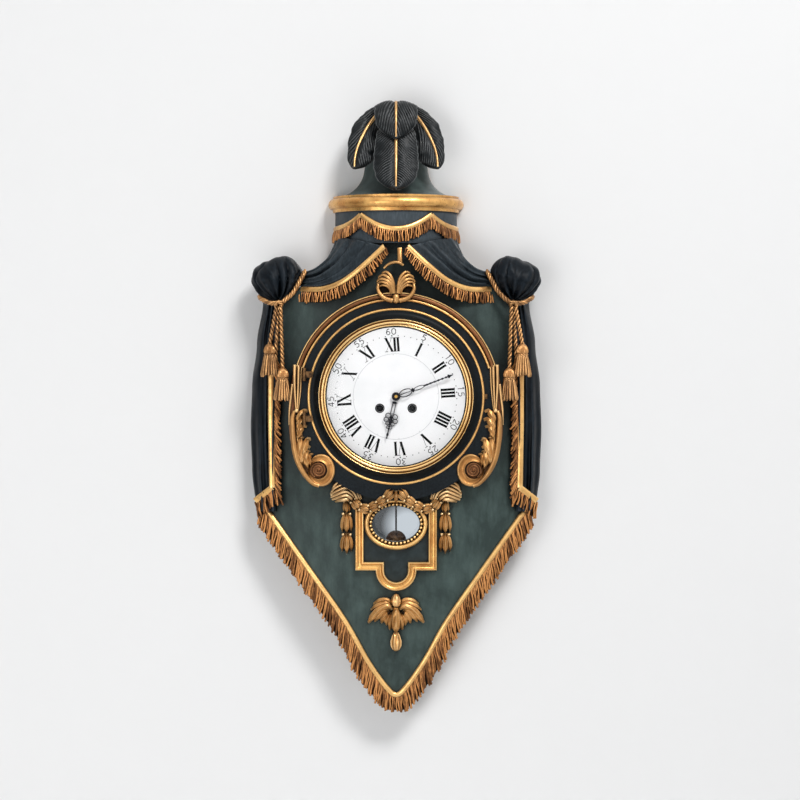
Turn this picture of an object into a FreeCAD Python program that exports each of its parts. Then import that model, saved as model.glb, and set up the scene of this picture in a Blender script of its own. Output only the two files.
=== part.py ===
import FreeCAD, Part
import math
import os
import Sketcher
from FreeCAD import Placement, Rotation, Vector

# Draped cartel wall clock. Every piece is drawn in the clock's own frame: x to the right,
# up from the dial centre, and out from the wall; stand() then sets it upright on the wall.

SIZES = (
    ("hook_rise", 245.0, "hanger hole above the dial centre"),
    ("bow_radius", 560.0, "plan radius of the bowed front at dial height"),
    ("belly_radius", 2745.0, "upright radius of the bowed front"),
    ("belly_out", 78.0, "panel front from the wall at the dial centre"),
    ("panel_thick", 18.0, "thickness of the front panel"),
    ("panel_top", 223.0, "top edge of the panel"),
    ("panel_top_half", 60.0, "half width of the panel under the canopy"),
    ("wing_half", 132.0, "half width of the panel behind the swags"),
    ("wing_up", 165.0, "height of the panel behind the swags"),
    ("flank_half", 180.0, "half width of the panel behind the drapes"),
    ("flank_up", 138.0, "height of the panel at the knots"),
    ("shoulder_half", 185.0, "half width of the foot border at its top"),
    ("shoulder_up", -172.5, "top of the foot border"),
    ("hip_half", 128.0, "half width of the foot border at the hip"),
    ("hip_up", -252.6, "height of the hip"),
    ("waist_half", 76.0, "half width of the foot border at the waist"),
    ("waist_up", -327.0, "height of the waist"),
    ("shin_half", 42.0, "half width of the foot border at the shin"),
    ("shin_up", -387.0, "height of the shin"),
    ("toe_half", 15.5, "half width of the foot border above the tip"),
    ("toe_up", -425.0, "height of the toe"),
    ("tip_up", -437.5, "lowest point of the foot border"),
    ("border_width", 8.0, "gilt border of the foot"),
    ("foot_fringe", 22.0, "length of the foot fringe"),
    ("fringe_proud", 9.0, "foot fringe above the panel"),
    ("cheek_half", 160.0, "middle of each side cheek from the axis"),
    ("cheek_width", 18.0, "thickness of the side cheeks"),
    ("cheek_reach", 132.0, "side cheeks above and below the dial centre"),
    ("rail_drop", 26.0, "height of the top rail"),
    ("valance_radius", 90.0, "half-round valance"),
    ("valance_bottom", 223.5, "lower edge of the valance"),
    ("cornice_bottom", 271.0, "lower edge of the cornice"),
    ("cornice_top", 294.5, "upper edge of the cornice"),
    ("cornice_radius", 96.0, "cornice without its roll"),
    ("cornice_roll", 8.5, "radius of the cornice roll"),
    ("dome_base", 89.0, "radius of the bell at its foot"),
    ("dome_flare", 44.0, "radius of the hollow curve of the bell"),
    ("dome_neck_up", 335.0, "height of the neck of the bell"),
    ("dome_neck", 47.0, "radius of the bell at its neck"),
    ("dome_top_up", 392.0, "top of the bell inside the plume"),
    ("dome_top", 38.0, "radius of the top of the bell"),
    ("plume_top", 433.0, "top of the upper feather"),
    ("feather_thick", 11.0, "thickness of a feather"),
    ("scallop_half", 51.0, "half width of the middle scallop"),
    ("scallop_dip", 21.0, "depth of the middle scallop"),
    ("scallop_peak", 265.0, "height of the scallop points"),
    ("valance_fringe_drop", 27.0, "border and fringe of the valance"),
    ("valance_fringe_thick", 6.0, "valance fringe above the valance"),
    ("swag_thick", 9.0, "thickness of the tent swags"),
    ("swag_fold", 2.4, "height of the swag folds"),
    ("swag_fringe", 19.0, "length of the swag fringe"),
    ("knot_half", 174.0, "middle of each knot from the axis"),
    ("knot_up", 171.0, "height of the middle of the knots"),
    ("knot_radius", 35.0, "radius of the knots"),
    ("knot_out", 46.0, "middle of the knots from the wall"),
    ("knot_fold", 1.6, "height of the knot folds"),
    ("rope_radius", 4.4, "rope round the knots"),
    ("cord_radius", 3.0, "hanging cords"),
    ("tassel_radius", 13.0, "foot of the tassel skirts"),
    ("tassel_length", 47.0, "length of a tassel"),
    ("drape_half", 214.0, "widest half width over the drapes"),
    ("drape_edge", 176.0, "front edge of the drapes from the axis"),
    ("drape_proud", 11.0, "drapes above the panel"),
    ("drape_fringe_in", 164.0, "inner edge of the drape fringe"),
    ("drape_border_out", 187.0, "outer edge of the drape border"),
    ("drape_bottom", -168.0, "hem of the drapes"),
    ("surround_out", 90.0, "flat front of the black dial surround"),
    ("surround_radius", 151.5, "outside of the dial surround"),
    ("surround_bore", 112.0, "opening of the dial surround"),
    ("dial_bore", 118.0, "dial opening of the panel"),
    ("arch_width", 12.0, "gilt arch moulding"),
    ("arch_bead", 3.8, "inner bead of the arch moulding"),
    ("arch_proud", 6.0, "arch above the surround"),
    ("arch_start", 17.0, "degrees above level where the arch starts"),
    ("volute_half", 110.0, "volute centre from the axis"),
    ("volute_up", -107.0, "height of the volutes"),
    ("volute_radius", 22.6, "radius of the volutes"),
    ("cuff_half", 73.0, "garland cuffs from the axis"),
    ("cuff_up", -138.0, "height of the garland cuffs"),
    ("drop_end", -229.0, "lower end of the garland drops"),
    ("leaf_radius", 9.0, "half width of the garland leaves"),
    ("apron_half", 59.5, "half width of the apron moulding"),
    ("apron_top", -158.0, "top of the apron moulding"),
    ("apron_bottom", -253.6, "lower edge of the wide part of the apron"),
    ("apron_width", 12.2, "width of the apron moulding"),
    ("apron_tongue", 29.7, "radius of the apron tongue"),
    ("apron_proud", 9.0, "apron moulding above the panel"),
    ("apron_field", 2.0, "apron field above the panel"),
    ("window_up", -185.6, "height of the oval window"),
    ("window_half", 34.5, "half width of the window"),
    ("window_rise", 26.0, "half height of the window"),
    ("window_ring_width", 12.0, "width of the window ring"),
    ("window_ring_proud", 9.0, "window ring above the apron field"),
    ("window_glass_thick", 2.0, "window glass"),
    ("spray_half", 41.0, "half width of the leaf spray"),
    ("spray_top", -287.0, "top of the leaf spray"),
    ("spray_bottom", -345.0, "foot of the leaf spray"),
    ("bud_length", 26.0, "bud under the leaf spray"),
    ("bud_radius", 9.5, "half width of the bud"),
    ("door_radius", 128.5, "outside of the door"),
    ("door_bore", 107.0, "opening of the door ring"),
    ("door_gap", 0.4, "door behind its shut face"),
    ("door_fillet", 4.5, "gilt fillet at the door edge"),
    ("door_edge_out", 97.0, "front of the door at its edge"),
    ("door_seat_out", 98.5, "seat of the bezel from the wall"),
    ("door_crown_out", 104.0, "front of the door beside the bezel"),
    ("bezel_radius", 112.8, "outside of the bezel"),
    ("bezel_bore", 102.4, "opening of the bezel"),
    ("glass_thick", 1.8, "door glass"),
    ("glass_rise", 7.0, "rise of the convex glass"),
    ("hinge_axis_x", 133.0, "hinge axis from the dial axis"),
    ("hinge_axis_out", 100.5, "hinge axis from the wall"),
    ("hinge_up", 32.0, "hinges above and below the dial centre"),
    ("knuckle_radius", 2.6, "hinge knuckles"),
    ("knuckle_length", 9.0, "door knuckle"),
    ("pin_radius", 1.3, "hinge pin"),
    ("pin_fit", 0.05, "running clearance of pins and pivots"),
    ("dial_radius", 106.0, "enamel dial"),
    ("dial_out", 88.0, "dial front at its centre"),
    ("dial_rise", 4.0, "rise of the convex dial"),
    ("dial_thick", 2.0, "enamel dial"),
    ("dial_hole", 4.2, "centre hole of the dial"),
    ("winding_hole", 5.0, "winding holes of the dial"),
    ("winding_half", 23.5, "winding arbors from the axis"),
    ("winding_drop", 17.0, "winding arbors below the dial centre"),
    ("square_half", 1.9, "half width of the winding squares"),
    ("dial_plate_radius", 116.5, "brass dial plate"),
    ("dial_plate_out", 79.0, "back of the dial plate"),
    ("dial_plate_thick", 2.0, "brass dial plate"),
    ("dial_plate_bore", 41.0, "opening for the motion work"),
    ("foot_circle", 49.0, "circle of the pillars"),
    ("foot_radius", 3.5, "pillars"),
    ("minute_length", 89.0, "minute hand"),
    ("hour_length", 63.0, "hour hand"),
    ("minute_angle", 21.0, "minute hand at rest, degrees from the x axis"),
    ("hour_angle", -102.7, "hour hand at rest, degrees from the x axis"),
    ("hand_thick", 1.2, "hands"),
    ("hour_hand_out", 90.2, "back of the hour hand"),
    ("minute_hand_out", 93.0, "back of the minute hand"),
    ("plate_radius", 56.0, "movement plates"),
    ("plate_thick", 2.5, "movement plates"),
    ("back_plate_out", 27.5, "back of the back plate"),
    ("front_plate_out", 67.5, "back of the front plate"),
    ("pivot_radius", 0.9, "pivots of the wheels"),
    ("staff_radius", 1.3, "arbors of the wheels"),
    ("wheel_thick", 1.5, "wheels"),
    ("great_teeth", 80, "great wheels"),
    ("great_module", 0.54, "great wheels and the pinions they drive"),
    ("drum_radius", 19.5, "barrels"),
    ("drum_length", 22.0, "barrels"),
    ("barrel_arbor", 2.6, "winding arbors inside the barrels"),
    ("second_leaves", 10, "pinions driven by the great wheels"),
    ("second_teeth", 72, "intermediate wheel"),
    ("second_module", 0.50, "intermediate wheel and centre pinion"),
    ("centre_leaves", 8, "centre pinion"),
    ("centre_teeth", 80, "centre wheel"),
    ("centre_module", 0.44, "centre wheel and third pinion"),
    ("third_leaves", 8, "third pinion"),
    ("third_teeth", 72, "third wheel"),
    ("third_module", 0.42, "third wheel and escape pinion"),
    ("third_angle", 60.0, "third arbor seen from the centre arbor, degrees"),
    ("escape_leaves", 6, "escape pinion"),
    ("escape_teeth", 30, "escape wheel"),
    ("escape_radius", 13.0, "escape wheel"),
    ("pallet_gap", 1.0, "pallets off the escape wheel at mid swing"),
    ("strike_angle", -150.0, "pin wheel arbor seen from the strike barrel, degrees"),
    ("pin_teeth", 72, "pin wheel"),
    ("pin_module", 0.35, "pin wheel and fly pinion"),
    ("fly_leaves", 8, "fly pinion"),
    ("fly_angle", -81.0, "fly arbor seen from the pin wheel, degrees"),
    ("fly_radius", 9.0, "fly"),
    ("cannon_leaves", 20, "cannon pinion"),
    ("minute_teeth", 60, "minute wheel"),
    ("motion_module", 0.42, "cannon pinion and minute wheel"),
    ("minute_leaves", 14, "minute pinion"),
    ("hour_teeth", 56, "hour wheel"),
    ("motion_angle", 35.0, "minute wheel seen from the centre arbor, degrees"),
    ("centre_staff", 1.3, "centre arbor in front of the plate"),
    ("cannon_pipe", 2.2, "cannon pipe"),
    ("hour_pipe", 3.3, "hour pipe"),
    ("cock_half", 13.0, "posts of the back cock from the axis"),
    ("pendulum_out", 18.0, "pendulum from the wall"),
    ("pendulum_rod", 1.4, "pendulum rod"),
    ("bob_up", -212.0, "middle of the bob"),
    ("bob_radius", 15.0, "bob"),
    ("bob_thick", 9.0, "bob"),
    ("crutch_length", 38.0, "crutch below the anchor arbor"),
    ("bell_x", 24.0, "bell from the axis"),
    ("bell_out", 48.5, "bell from the wall"),
    ("bell_up", 62.0, "mouth of the bell"),
    ("bell_radius", 19.0, "mouth of the bell"),
    ("bell_height", 20.0, "height of the bell"),
    ("bell_wall", 2.0, "wall of the bell"),
    ("hammer_x", 42.0, "hammer arbor from the axis"),
    ("hammer_up", 20.0, "height of the hammer arbor"),
    ("hammer_gap", 0.6, "hammer off the bell at rest"),
    ("hanger_half", 32.0, "half width of the hanger plate"),
    ("hanger_rise", 15.0, "half height of the hanger plate"),
    ("hanger_thick", 2.5, "hanger plate"),
    ("hanger_bore", 5.0, "hanger hole"),
    ("hanger_screw_x", 25.0, "hanger screws from the axis"),
    ("screw_head", 4.0, "hanger screw heads"),
    ("screw_shank", 2.0, "hanger screw shanks"),
    ("screw_length", 22.0, "hanger screws"),
    ("recess_depth", 16.0, "hollow behind the hanger hole"),
)

doc = FreeCAD.newDocument("CartelClock")
sheet = doc.addObject("Spreadsheet::Sheet", "Sizes")
for row, (alias, value, note) in enumerate(SIZES, start=1):
    sheet.set(f"A{row}", note)
    sheet.set(f"B{row}", str(value))
    sheet.setAlias(f"B{row}", alias)
doc.recompute()

UPRIGHT = Rotation(Vector(1, 0, 0), 90)
OUTWARD = Vector(0, 0, 1)
AXIS = Vector(0, 0, 0)
pieces = []


def size(alias):
    """Value of one named size."""
    return float(sheet.get(alias))


def count(alias):
    """A named number of teeth or leaves."""
    return int(round(size(alias)))


def stand(piece, label, x="0", up="0", out="0"):
    """Name a finished piece and set it upright with the hanger hole at the origin."""
    piece.Label = label
    piece.Placement = Placement(Vector(0, 0, 0), UPRIGHT)
    piece.setExpression("Placement.Base.x", x)
    piece.setExpression("Placement.Base.y", f"-({out})")
    piece.setExpression("Placement.Base.z", f"{up} - Sizes.hook_rise")
    pieces.append(piece)
    return piece


def carved(label, *shapes):
    """A piece whose solids are shaped in the clock's frame."""
    piece = doc.addObject("Part::Feature", label)
    piece.Shape = Part.Compound([solid for shape in shapes for solid in shape.Solids])
    return stand(piece, label)


def in_place(piece):
    """Shape of a piece in the clock's own frame."""
    doc.recompute()
    shape = piece.Shape.copy()
    shape.Placement = Placement()
    return shape


def mirrored(shape):
    """The same shape on the other side of the clock."""
    return shape.mirror(AXIS, Vector(1, 0, 0))


def sketch_on(body, role, name):
    """Sketch on one of the body's own origin planes."""
    sketch = body.newObject("Sketcher::SketchObject", name)
    plane = next(part for part in body.Origin.OriginFeatures if part.Role == role)
    sketch.AttachmentSupport = (plane, [""])
    sketch.MapMode = "FlatFace"
    return sketch


def pin_point(sketch, edge, end, across, along):
    """Hold one end of an edge at named distances from the sketch origin."""
    across_value = sketch.evalExpression(across)
    along_value = sketch.evalExpression(along)
    held = sketch.addConstraint(Sketcher.Constraint("DistanceX", -1, 1, edge, end, across_value))
    sketch.setExpression(f"Constraints[{held}]", across)
    held = sketch.addConstraint(Sketcher.Constraint("DistanceY", -1, 1, edge, end, along_value))
    sketch.setExpression(f"Constraints[{held}]", along)


def outline(sketch, corners):
    """Closed outline; a corner with a radius and a turn starts an arc to the next corner."""
    total = len(corners)
    spots = [Vector(sketch.evalExpression(c[0]), sketch.evalExpression(c[1]), 0) for c in corners]
    first = sketch.GeometryCount
    ends = []
    for index, corner in enumerate(corners):
        here = spots[index]
        there = spots[(index + 1) % total]
        if len(corner) == 2:
            sketch.addGeometry(Part.LineSegment(here, there), False)
            ends.append((1, 2))
            continue
        radius = sketch.evalExpression(corner[2])
        chord = there - here
        left = Vector(-chord.y, chord.x, 0).normalize()
        rise = math.sqrt(radius ** 2 - (chord.Length / 2) ** 2)
        centre = (here + there) / 2 + left * (rise * corner[3])
        middle = centre - left * (radius * corner[3])
        sketch.addGeometry(Part.Arc(here, middle, there), False)
        ends.append((1, 2) if corner[3] > 0 else (2, 1))
    for index, corner in enumerate(corners):
        following = (index + 1) % total
        sketch.addConstraint(Sketcher.Constraint(
            "Coincident", first + index, ends[index][1], first + following, ends[following][0]))
    for index, corner in enumerate(corners):
        pin_point(sketch, first + index, ends[index][0], corner[0], corner[1])
        if len(corner) > 2:
            held = sketch.addConstraint(Sketcher.Constraint(
                "Radius", first + index, sketch.evalExpression(corner[2])))
            sketch.setExpression(f"Constraints[{held}]", corner[2])


def disc(sketch, radius, x="0", up="0"):
    """Circle of a named radius at a named place."""
    spot = Vector(sketch.evalExpression(x), sketch.evalExpression(up), 0)
    value = sketch.evalExpression(radius)
    edge = sketch.addGeometry(Part.Circle(spot, OUTWARD, value), False)
    held = sketch.addConstraint(Sketcher.Constraint("Radius", edge, value))
    sketch.setExpression(f"Constraints[{held}]", radius)
    pin_point(sketch, edge, 3, x, up)


def turned(label, corners):
    """Body turned about the outward axis; corners are (radius, out)."""
    body = doc.addObject("PartDesign::Body", label)
    sketch = sketch_on(body, "XZ_Plane", label + "_section")
    outline(sketch, corners)
    lathe = body.newObject("PartDesign::Revolution", label + "_turning")
    lathe.Profile = sketch
    lathe.ReferenceAxis = (sketch, ["V_Axis"])
    lathe.Angle = 360
    return body


def half_turned(label, corners):
    """Half-round body about the upright axis on the wall; corners are (up, radius)."""
    body = doc.addObject("PartDesign::Body", label)
    sketch = sketch_on(body, "YZ_Plane", label + "_section")
    outline(sketch, corners)
    lathe = body.newObject("PartDesign::Revolution", label + "_turning")
    lathe.Profile = sketch
    lathe.ReferenceAxis = (sketch, ["H_Axis"])
    lathe.Midplane = True
    lathe.Angle = 180
    return body


def padded(body, name, thick, draw):
    """Add a pad of a named thickness from the back plane of a body."""
    sketch = sketch_on(body, "XY_Plane", name + "_outline")
    draw(sketch)
    pad = body.newObject("PartDesign::Pad", name)
    pad.Profile = sketch
    pad.setExpression("Length", thick)
    return pad


def pocketed(body, name, depth, draw):
    """Sink a pocket of a named depth outward from the back plane of a body."""
    sketch = sketch_on(body, "XY_Plane", name + "_outline")
    draw(sketch)
    pocket = body.newObject("PartDesign::Pocket", name)
    pocket.Profile = sketch
    pocket.Reversed = True
    pocket.setExpression("Length", depth)
    return pocket


def rectangle(half, rise, x="0", up="0"):
    """Corners of an upright rectangle round a named place."""
    return [(f"{x} - {half}", f"{up} - {rise}"), (f"{x} + {half}", f"{up} - {rise}"),
            (f"{x} + {half}", f"{up} + {rise}"), (f"{x} - {half}", f"{up} + {rise}")]


def positive(solid):
    """Solid with its faces turned outward."""
    return solid.reversed() if solid.Volume < 0 else solid


def largest(shape):
    """The main solid of a trimmed shape."""
    return max(shape.Solids, key=lambda solid: solid.Volume)


def lathe_solid(corners, middle=AXIS, axis=OUTWARD, degrees=360.0):
    """Solid turned about an axis; corners are (radius, along the axis)."""
    side = Vector(1, 0, 0)
    points = [middle + side * r + axis * a for r, a in corners]
    face = Part.Face(Part.makePolygon(points + points[:1]))
    return positive(face.revolve(middle, axis, degrees))


def staff(steps):
    """Stepped arbor; steps are (radius, from, to) along the outward axis."""
    corners = [(0.0, steps[0][1])]
    for radius, start, end in steps:
        corners += [(radius, start), (radius, end)]
    return lathe_solid(corners + [(0.0, steps[-1][2])])


def prism(wire, start, end):
    """Solid between two distances from the wall over a flat outline."""
    face = Part.Face(wire) if isinstance(wire, Part.Wire) else wire
    face = face.copy()
    face.translate(Vector(0, 0, start))
    return face.extrude(Vector(0, 0, end - start))


def moved(shape, x, up):
    """Copy of a shape at another place on the front."""
    shape = shape.copy()
    shape.translate(Vector(x, up, 0))
    return shape


def flat(points):
    """Closed straight outline through (x, up) corners."""
    corners = [Vector(x, up, 0) for x, up in points]
    return Part.makePolygon(corners + corners[:1])


def curve(points, start=None, end=None):
    """Smooth edge through points, with end directions if given."""
    spline = Part.BSplineCurve()
    if start is None:
        spline.interpolate(points)
    else:
        spline.interpolate(Points=points, InitialTangent=start, FinalTangent=end)
    return spline.toShape()


def bud(start, end, radius):
    """Egg-shaped leaf or bud, round in section, between two places."""
    stretch = FreeCAD.Matrix()
    stretch.scale(radius, radius, (end - start).Length / 2)
    egg = Part.makeSphere(1.0).transformGeometry(stretch)
    egg.Placement = Placement((start + end) / 2, Rotation(OUTWARD, end - start))
    return egg


def fused(first, *others):
    """One solid from overlapping parts."""
    return first.fuse(list(others)).removeSplitter()


def seated(shape, *beds):
    """Shape trimmed where it lies on its beds."""
    return shape.cut(list(beds))


# The bowed front: a barrel about an upright axis behind the wall.

def front_out(x, up, proud=0.0):
    """Distance of the bowed front from the wall."""
    belly = size("belly_radius")
    sag = belly - math.sqrt(belly ** 2 - up ** 2)
    axis = size("bow_radius") - size("belly_out")
    return math.sqrt((axis + size("belly_out") - sag + proud) ** 2 - x ** 2) - axis


def bow(proud):
    """Solid behind the bowed front, raised by a height."""
    top = 300.0
    low = -520.0
    axis = size("bow_radius") - size("belly_out")
    behind = -60.0
    crest = [Vector(0, up, front_out(0, up, proud)) for up in (top, 0.0, low)]
    face = Part.Face(Part.Wire([
        Part.Arc(*crest).toShape(),
        Part.makeLine(crest[2], Vector(0, low, behind)),
        Part.makeLine(Vector(0, low, behind), Vector(0, top, behind)),
        Part.makeLine(Vector(0, top, behind), crest[0])]))
    face.rotate(Vector(0, 0, -axis), Vector(0, 1, 0), -40)
    return face.revolve(Vector(0, 0, -axis), Vector(0, 1, 0), 80)


def shell_of(wire, low, high):
    """Part of the bowed front under a flat outline, between two heights."""
    return prism(wire, -40.0, 140.0).common(bow(high)).cut(bow(low))


def foot_edge(offset):
    """Right half of the foot outline from shoulder to tip, moved outward."""
    stops = [Vector(size(name + "_half"), size(name + "_up"), 0)
             for name in ("shoulder", "hip", "waist", "shin", "toe")]
    stops.append(Vector(0, size("tip_up"), 0))
    line = curve(stops, Vector(-0.4, -0.9, 0), Vector(-1, 0, 0))
    first, last = line.ParameterRange
    spots = []
    for step in range(17):
        at = first + (last - first) * step / 16
        along = line.tangentAt(at)
        spots.append(line.valueAt(at) + Vector(-along.y, along.x, 0) * offset)
    spots[-1].x = 0.0
    return spots


def foot_wire(inner, outer):
    """Strip round the foot between two offsets of its outline."""
    return Part.Wire([
        curve(foot_edge(outer)),
        mirrored(curve(foot_edge(outer))),
        Part.makeLine(flip(foot_edge(outer)[0]), flip(foot_edge(inner)[0])),
        mirrored(curve(foot_edge(inner))),
        curve(foot_edge(inner)),
        Part.makeLine(foot_edge(inner)[0], foot_edge(outer)[0])])


def flip(spot):
    """The same place on the other side."""
    return Vector(-spot.x, spot.y, spot.z)


def panel_wire():
    """Outline of the front panel."""
    edge = foot_edge(size("border_width"))
    side = [edge[0], Vector(size("flank_half"), size("flank_up"), 0),
            Vector(size("wing_half"), size("wing_up"), 0),
            Vector(size("panel_top_half"), size("panel_top"), 0)]
    top = Part.makePolygon(side + [flip(spot) for spot in reversed(side)])
    return Part.Wire([curve(edge), *top.Edges, mirrored(curve(edge))])


def oval(half, rise, up):
    """Upright oval outline."""
    ring = Part.Ellipse(Vector(0, up, 0), half, rise).toShape()
    return Part.Wire([ring])


front = bow(0.0)
panel_block = prism(panel_wire(), 0.0, 140.0).common(front)
window_hole = prism(oval(size("window_half"), size("window_rise"), size("window_up")), -40.0, 140.0)
dial_hole = prism(Part.Wire([Part.makeCircle(size("dial_bore"))]), -40.0, 140.0)
carved("front_panel", panel_block.cut([bow(-size("panel_thick")), window_hole, dial_hole]))

# Frame between the panel and the wall.

panel_back = bow(-size("panel_thick"))
cheek = prism(flat([(size("cheek_half") - size("cheek_width") / 2, -size("cheek_reach")),
                    (size("cheek_half") + size("cheek_width") / 2, -size("cheek_reach")),
                    (size("cheek_half") + size("cheek_width") / 2, size("cheek_reach")),
                    (size("cheek_half") - size("cheek_width") / 2, size("cheek_reach"))]), 0.0, 120.0)
rail = prism(flat([(-size("panel_top_half"), size("panel_top") - size("rail_drop")),
                   (size("panel_top_half"), size("panel_top") - size("rail_drop")),
                   (size("panel_top_half"), size("panel_top")),
                   (-size("panel_top_half"), size("panel_top"))]), 0.0, 120.0)
cheek = cheek.common(panel_back)
carved("back_frame", cheek, mirrored(cheek), rail.common(panel_back))

# Canopy: bell, cornice and valance are half-round and lie on the wall.

dome = half_turned("canopy_dome", [
    ("Sizes.cornice_top", "0"),
    ("Sizes.cornice_top", "Sizes.dome_base", "Sizes.dome_flare", 1),
    ("Sizes.dome_neck_up", "Sizes.dome_neck"),
    ("Sizes.dome_top_up", "Sizes.dome_top"),
    ("Sizes.dome_top_up", "0")])
cornice = half_turned("cornice", [
    ("Sizes.cornice_bottom", "0"),
    ("Sizes.cornice_bottom", "Sizes.cornice_radius - 3"),
    ("Sizes.cornice_bottom + 5", "Sizes.cornice_radius - 2"),
    ("Sizes.cornice_bottom + 5", "Sizes.cornice_radius", "Sizes.cornice_roll", -1),
    ("Sizes.cornice_top - 4", "Sizes.cornice_radius"),
    ("Sizes.cornice_top - 4", "Sizes.cornice_radius - 3"),
    ("Sizes.cornice_top", "Sizes.cornice_radius - 3"),
    ("Sizes.cornice_top", "0")])
valance = half_turned("valance", [
    ("Sizes.valance_bottom", "0"),
    ("Sizes.valance_bottom", "Sizes.valance_radius"),
    ("Sizes.cornice_bottom", "Sizes.valance_radius"),
    ("Sizes.cornice_bottom", "0")])
pocketed(valance, "hanger_bed", "Sizes.hanger_thick", lambda sketch: outline(
    sketch, rectangle("Sizes.hanger_half", "Sizes.hanger_rise", up="Sizes.hook_rise")))
pocketed(valance, "hook_hollow", "Sizes.recess_depth", lambda sketch: outline(
    sketch, rectangle("Sizes.hanger_rise", "(Sizes.hanger_rise - 2)", up="Sizes.hook_rise")))
for side in ("-", ""):
    pocketed(valance, "pilot_hole", "Sizes.screw_length", lambda sketch: disc(
        sketch, "Sizes.screw_shank", f"{side}Sizes.hanger_screw_x", "Sizes.hook_rise"))
stand(dome, "canopy_dome")
stand(cornice, "cornice")
stand(valance, "valance")

# Hanger plate flush with the back of the canopy, and its screws.

hanger = doc.addObject("PartDesign::Body", "hanger_plate")
padded(hanger, "plate", "Sizes.hanger_thick", lambda sketch: (
    outline(sketch, rectangle("Sizes.hanger_half", "Sizes.hanger_rise")),
    disc(sketch, "Sizes.hanger_bore"),
    disc(sketch, "Sizes.screw_head", "-Sizes.hanger_screw_x"),
    disc(sketch, "Sizes.screw_head", "Sizes.hanger_screw_x")))
stand(hanger, "hanger_plate", up="Sizes.hook_rise")
screw = staff([(size("screw_head"), 0.0, size("hanger_thick")),
               (size("screw_shank"), size("hanger_thick"), size("screw_length"))])
screw = moved(screw, size("hanger_screw_x"), size("hook_rise"))
carved("hanger_screws", screw, mirrored(screw))

# Valance border and fringe: three scallops on the half-round valance.

peak = size("scallop_peak")
dip = size("scallop_dip")
drop = size("valance_fringe_drop")
point = size("scallop_half")
rim = size("valance_radius") + size("valance_fringe_thick")


def scallops(lower):
    """Scalloped edge from left to right, lowered by a distance."""
    left = [Vector(-rim - 2, peak - 0.9 * dip - lower, 0),
            Vector(-point - 18, peak - 0.62 * dip - lower, 0),
            Vector(-point, peak - lower, 0)]
    return [curve(left),
            Part.Arc(left[2], Vector(0, peak - dip - lower, 0), flip(left[2])).toShape(),
            mirrored(curve(left))]


upper_edge = scallops(0.0)
lower_edge = scallops(drop)
corner = Vector(-rim - 2, peak - 0.9 * dip, 0)
scallop_wire = Part.Wire(Part.__sortEdges__(upper_edge + lower_edge + [
    Part.makeLine(corner, corner - Vector(0, drop, 0)),
    Part.makeLine(flip(corner), flip(corner) - Vector(0, drop, 0))]))
valance_sleeve = lathe_solid([(size("valance_radius"), peak - dip - drop - 10),
                              (rim, peak - dip - drop - 10),
                              (rim, size("cornice_bottom")),
                              (size("valance_radius"), size("cornice_bottom"))],
                             axis=Vector(0, 1, 0), degrees=-180.0)
valance_fringe = prism(scallop_wire, 0.0, 140.0).common(valance_sleeve)
carved("valance_fringe", valance_fringe)

# Plume of four feathers that curl forward over the bell.


def feather(spine, widths, side=None):
    """Curling feather: arched sections along a spine of (x, up, out) places."""
    spots = [Vector(*spot) for spot in spine]
    wires = []
    for index, spot in enumerate(spots):
        before = spots[max(index - 1, 0)]
        after = spots[min(index + 1, len(spots) - 1)]
        along = (after - before).normalize()
        across = side or Vector(along.y, -along.x, 0).normalize()
        face_up = across.cross(along).normalize()
        half = across * (widths[index] / 2)
        rise = face_up * (size("feather_thick") * min(1.0, widths[index] / 30) * 0.6)
        wires.append(Part.Wire([
            Part.Arc(spot - half, spot + rise, spot + half).toShape(),
            Part.Arc(spot + half, spot - rise * 0.65, spot - half).toShape()]))
    return Part.makeLoft(wires, True, False)


top = size("plume_top")
upper_feather = feather(
    [(0, top - 45, 20), (0, top - 18, 28), (0, top - 6, 44), (0, top - 10, 62),
     (0, top - 29, 74), (0, top - 55, 77)], (40, 58, 62, 62, 58, 30), Vector(1, 0, 0))
lower_feather = feather(
    [(0, top - 41, 44), (0, top - 47, 60), (0, top - 65, 67), (0, top - 88, 72),
     (0, top - 113, 82), (0, top - 132, 95)], (36, 52, 60, 60, 54, 14), Vector(1, 0, 0))
side_feather = feather(
    [(16, top - 40, 22), (35, top - 28, 32), (48, top - 42, 43), (53, top - 63, 51),
     (54, top - 83, 57), (52, top - 99, 62)], (38, 46, 46, 42, 38, 16))
bell_shape = in_place(dome)
lower_feather = seated(lower_feather, upper_feather, bell_shape)
side_feather = seated(side_feather, upper_feather, lower_feather, bell_shape)
upper_feather = seated(upper_feather, bell_shape)
carved("plume_feathers", upper_feather, lower_feather, side_feather, mirrored(side_feather))

# Knots: gathered cloth carved as a fluted ball over each drape.


def knot_section(up, share):
    """Wavy closed section of the right knot."""
    folds = 11
    spots = []
    for step in range(2 * folds):
        turn = math.pi * step / folds
        reach = size("knot_radius") * share + size("knot_fold") * share * (1 if step % 2 else -1)
        spots.append(Vector(size("knot_half") + reach * math.cos(turn), size("knot_up") + up,
                            size("knot_out") + 0.86 * reach * math.sin(turn)))
    ring = Part.BSplineCurve()
    ring.interpolate(Points=spots, PeriodicFlag=True)
    return Part.Wire([ring.toShape()])


right_knot = Part.makeLoft([knot_section(up, share) for up, share in (
    (-32, 0.34), (-22, 0.72), (-8, 0.98), (8, 1.0), (22, 0.8), (31, 0.4))], True, False)
right_knot = largest(seated(right_knot, panel_block))
carved("right_knot", right_knot)
carved("left_knot", mirrored(right_knot))

# Tent swags between the canopy and the knots.


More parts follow.
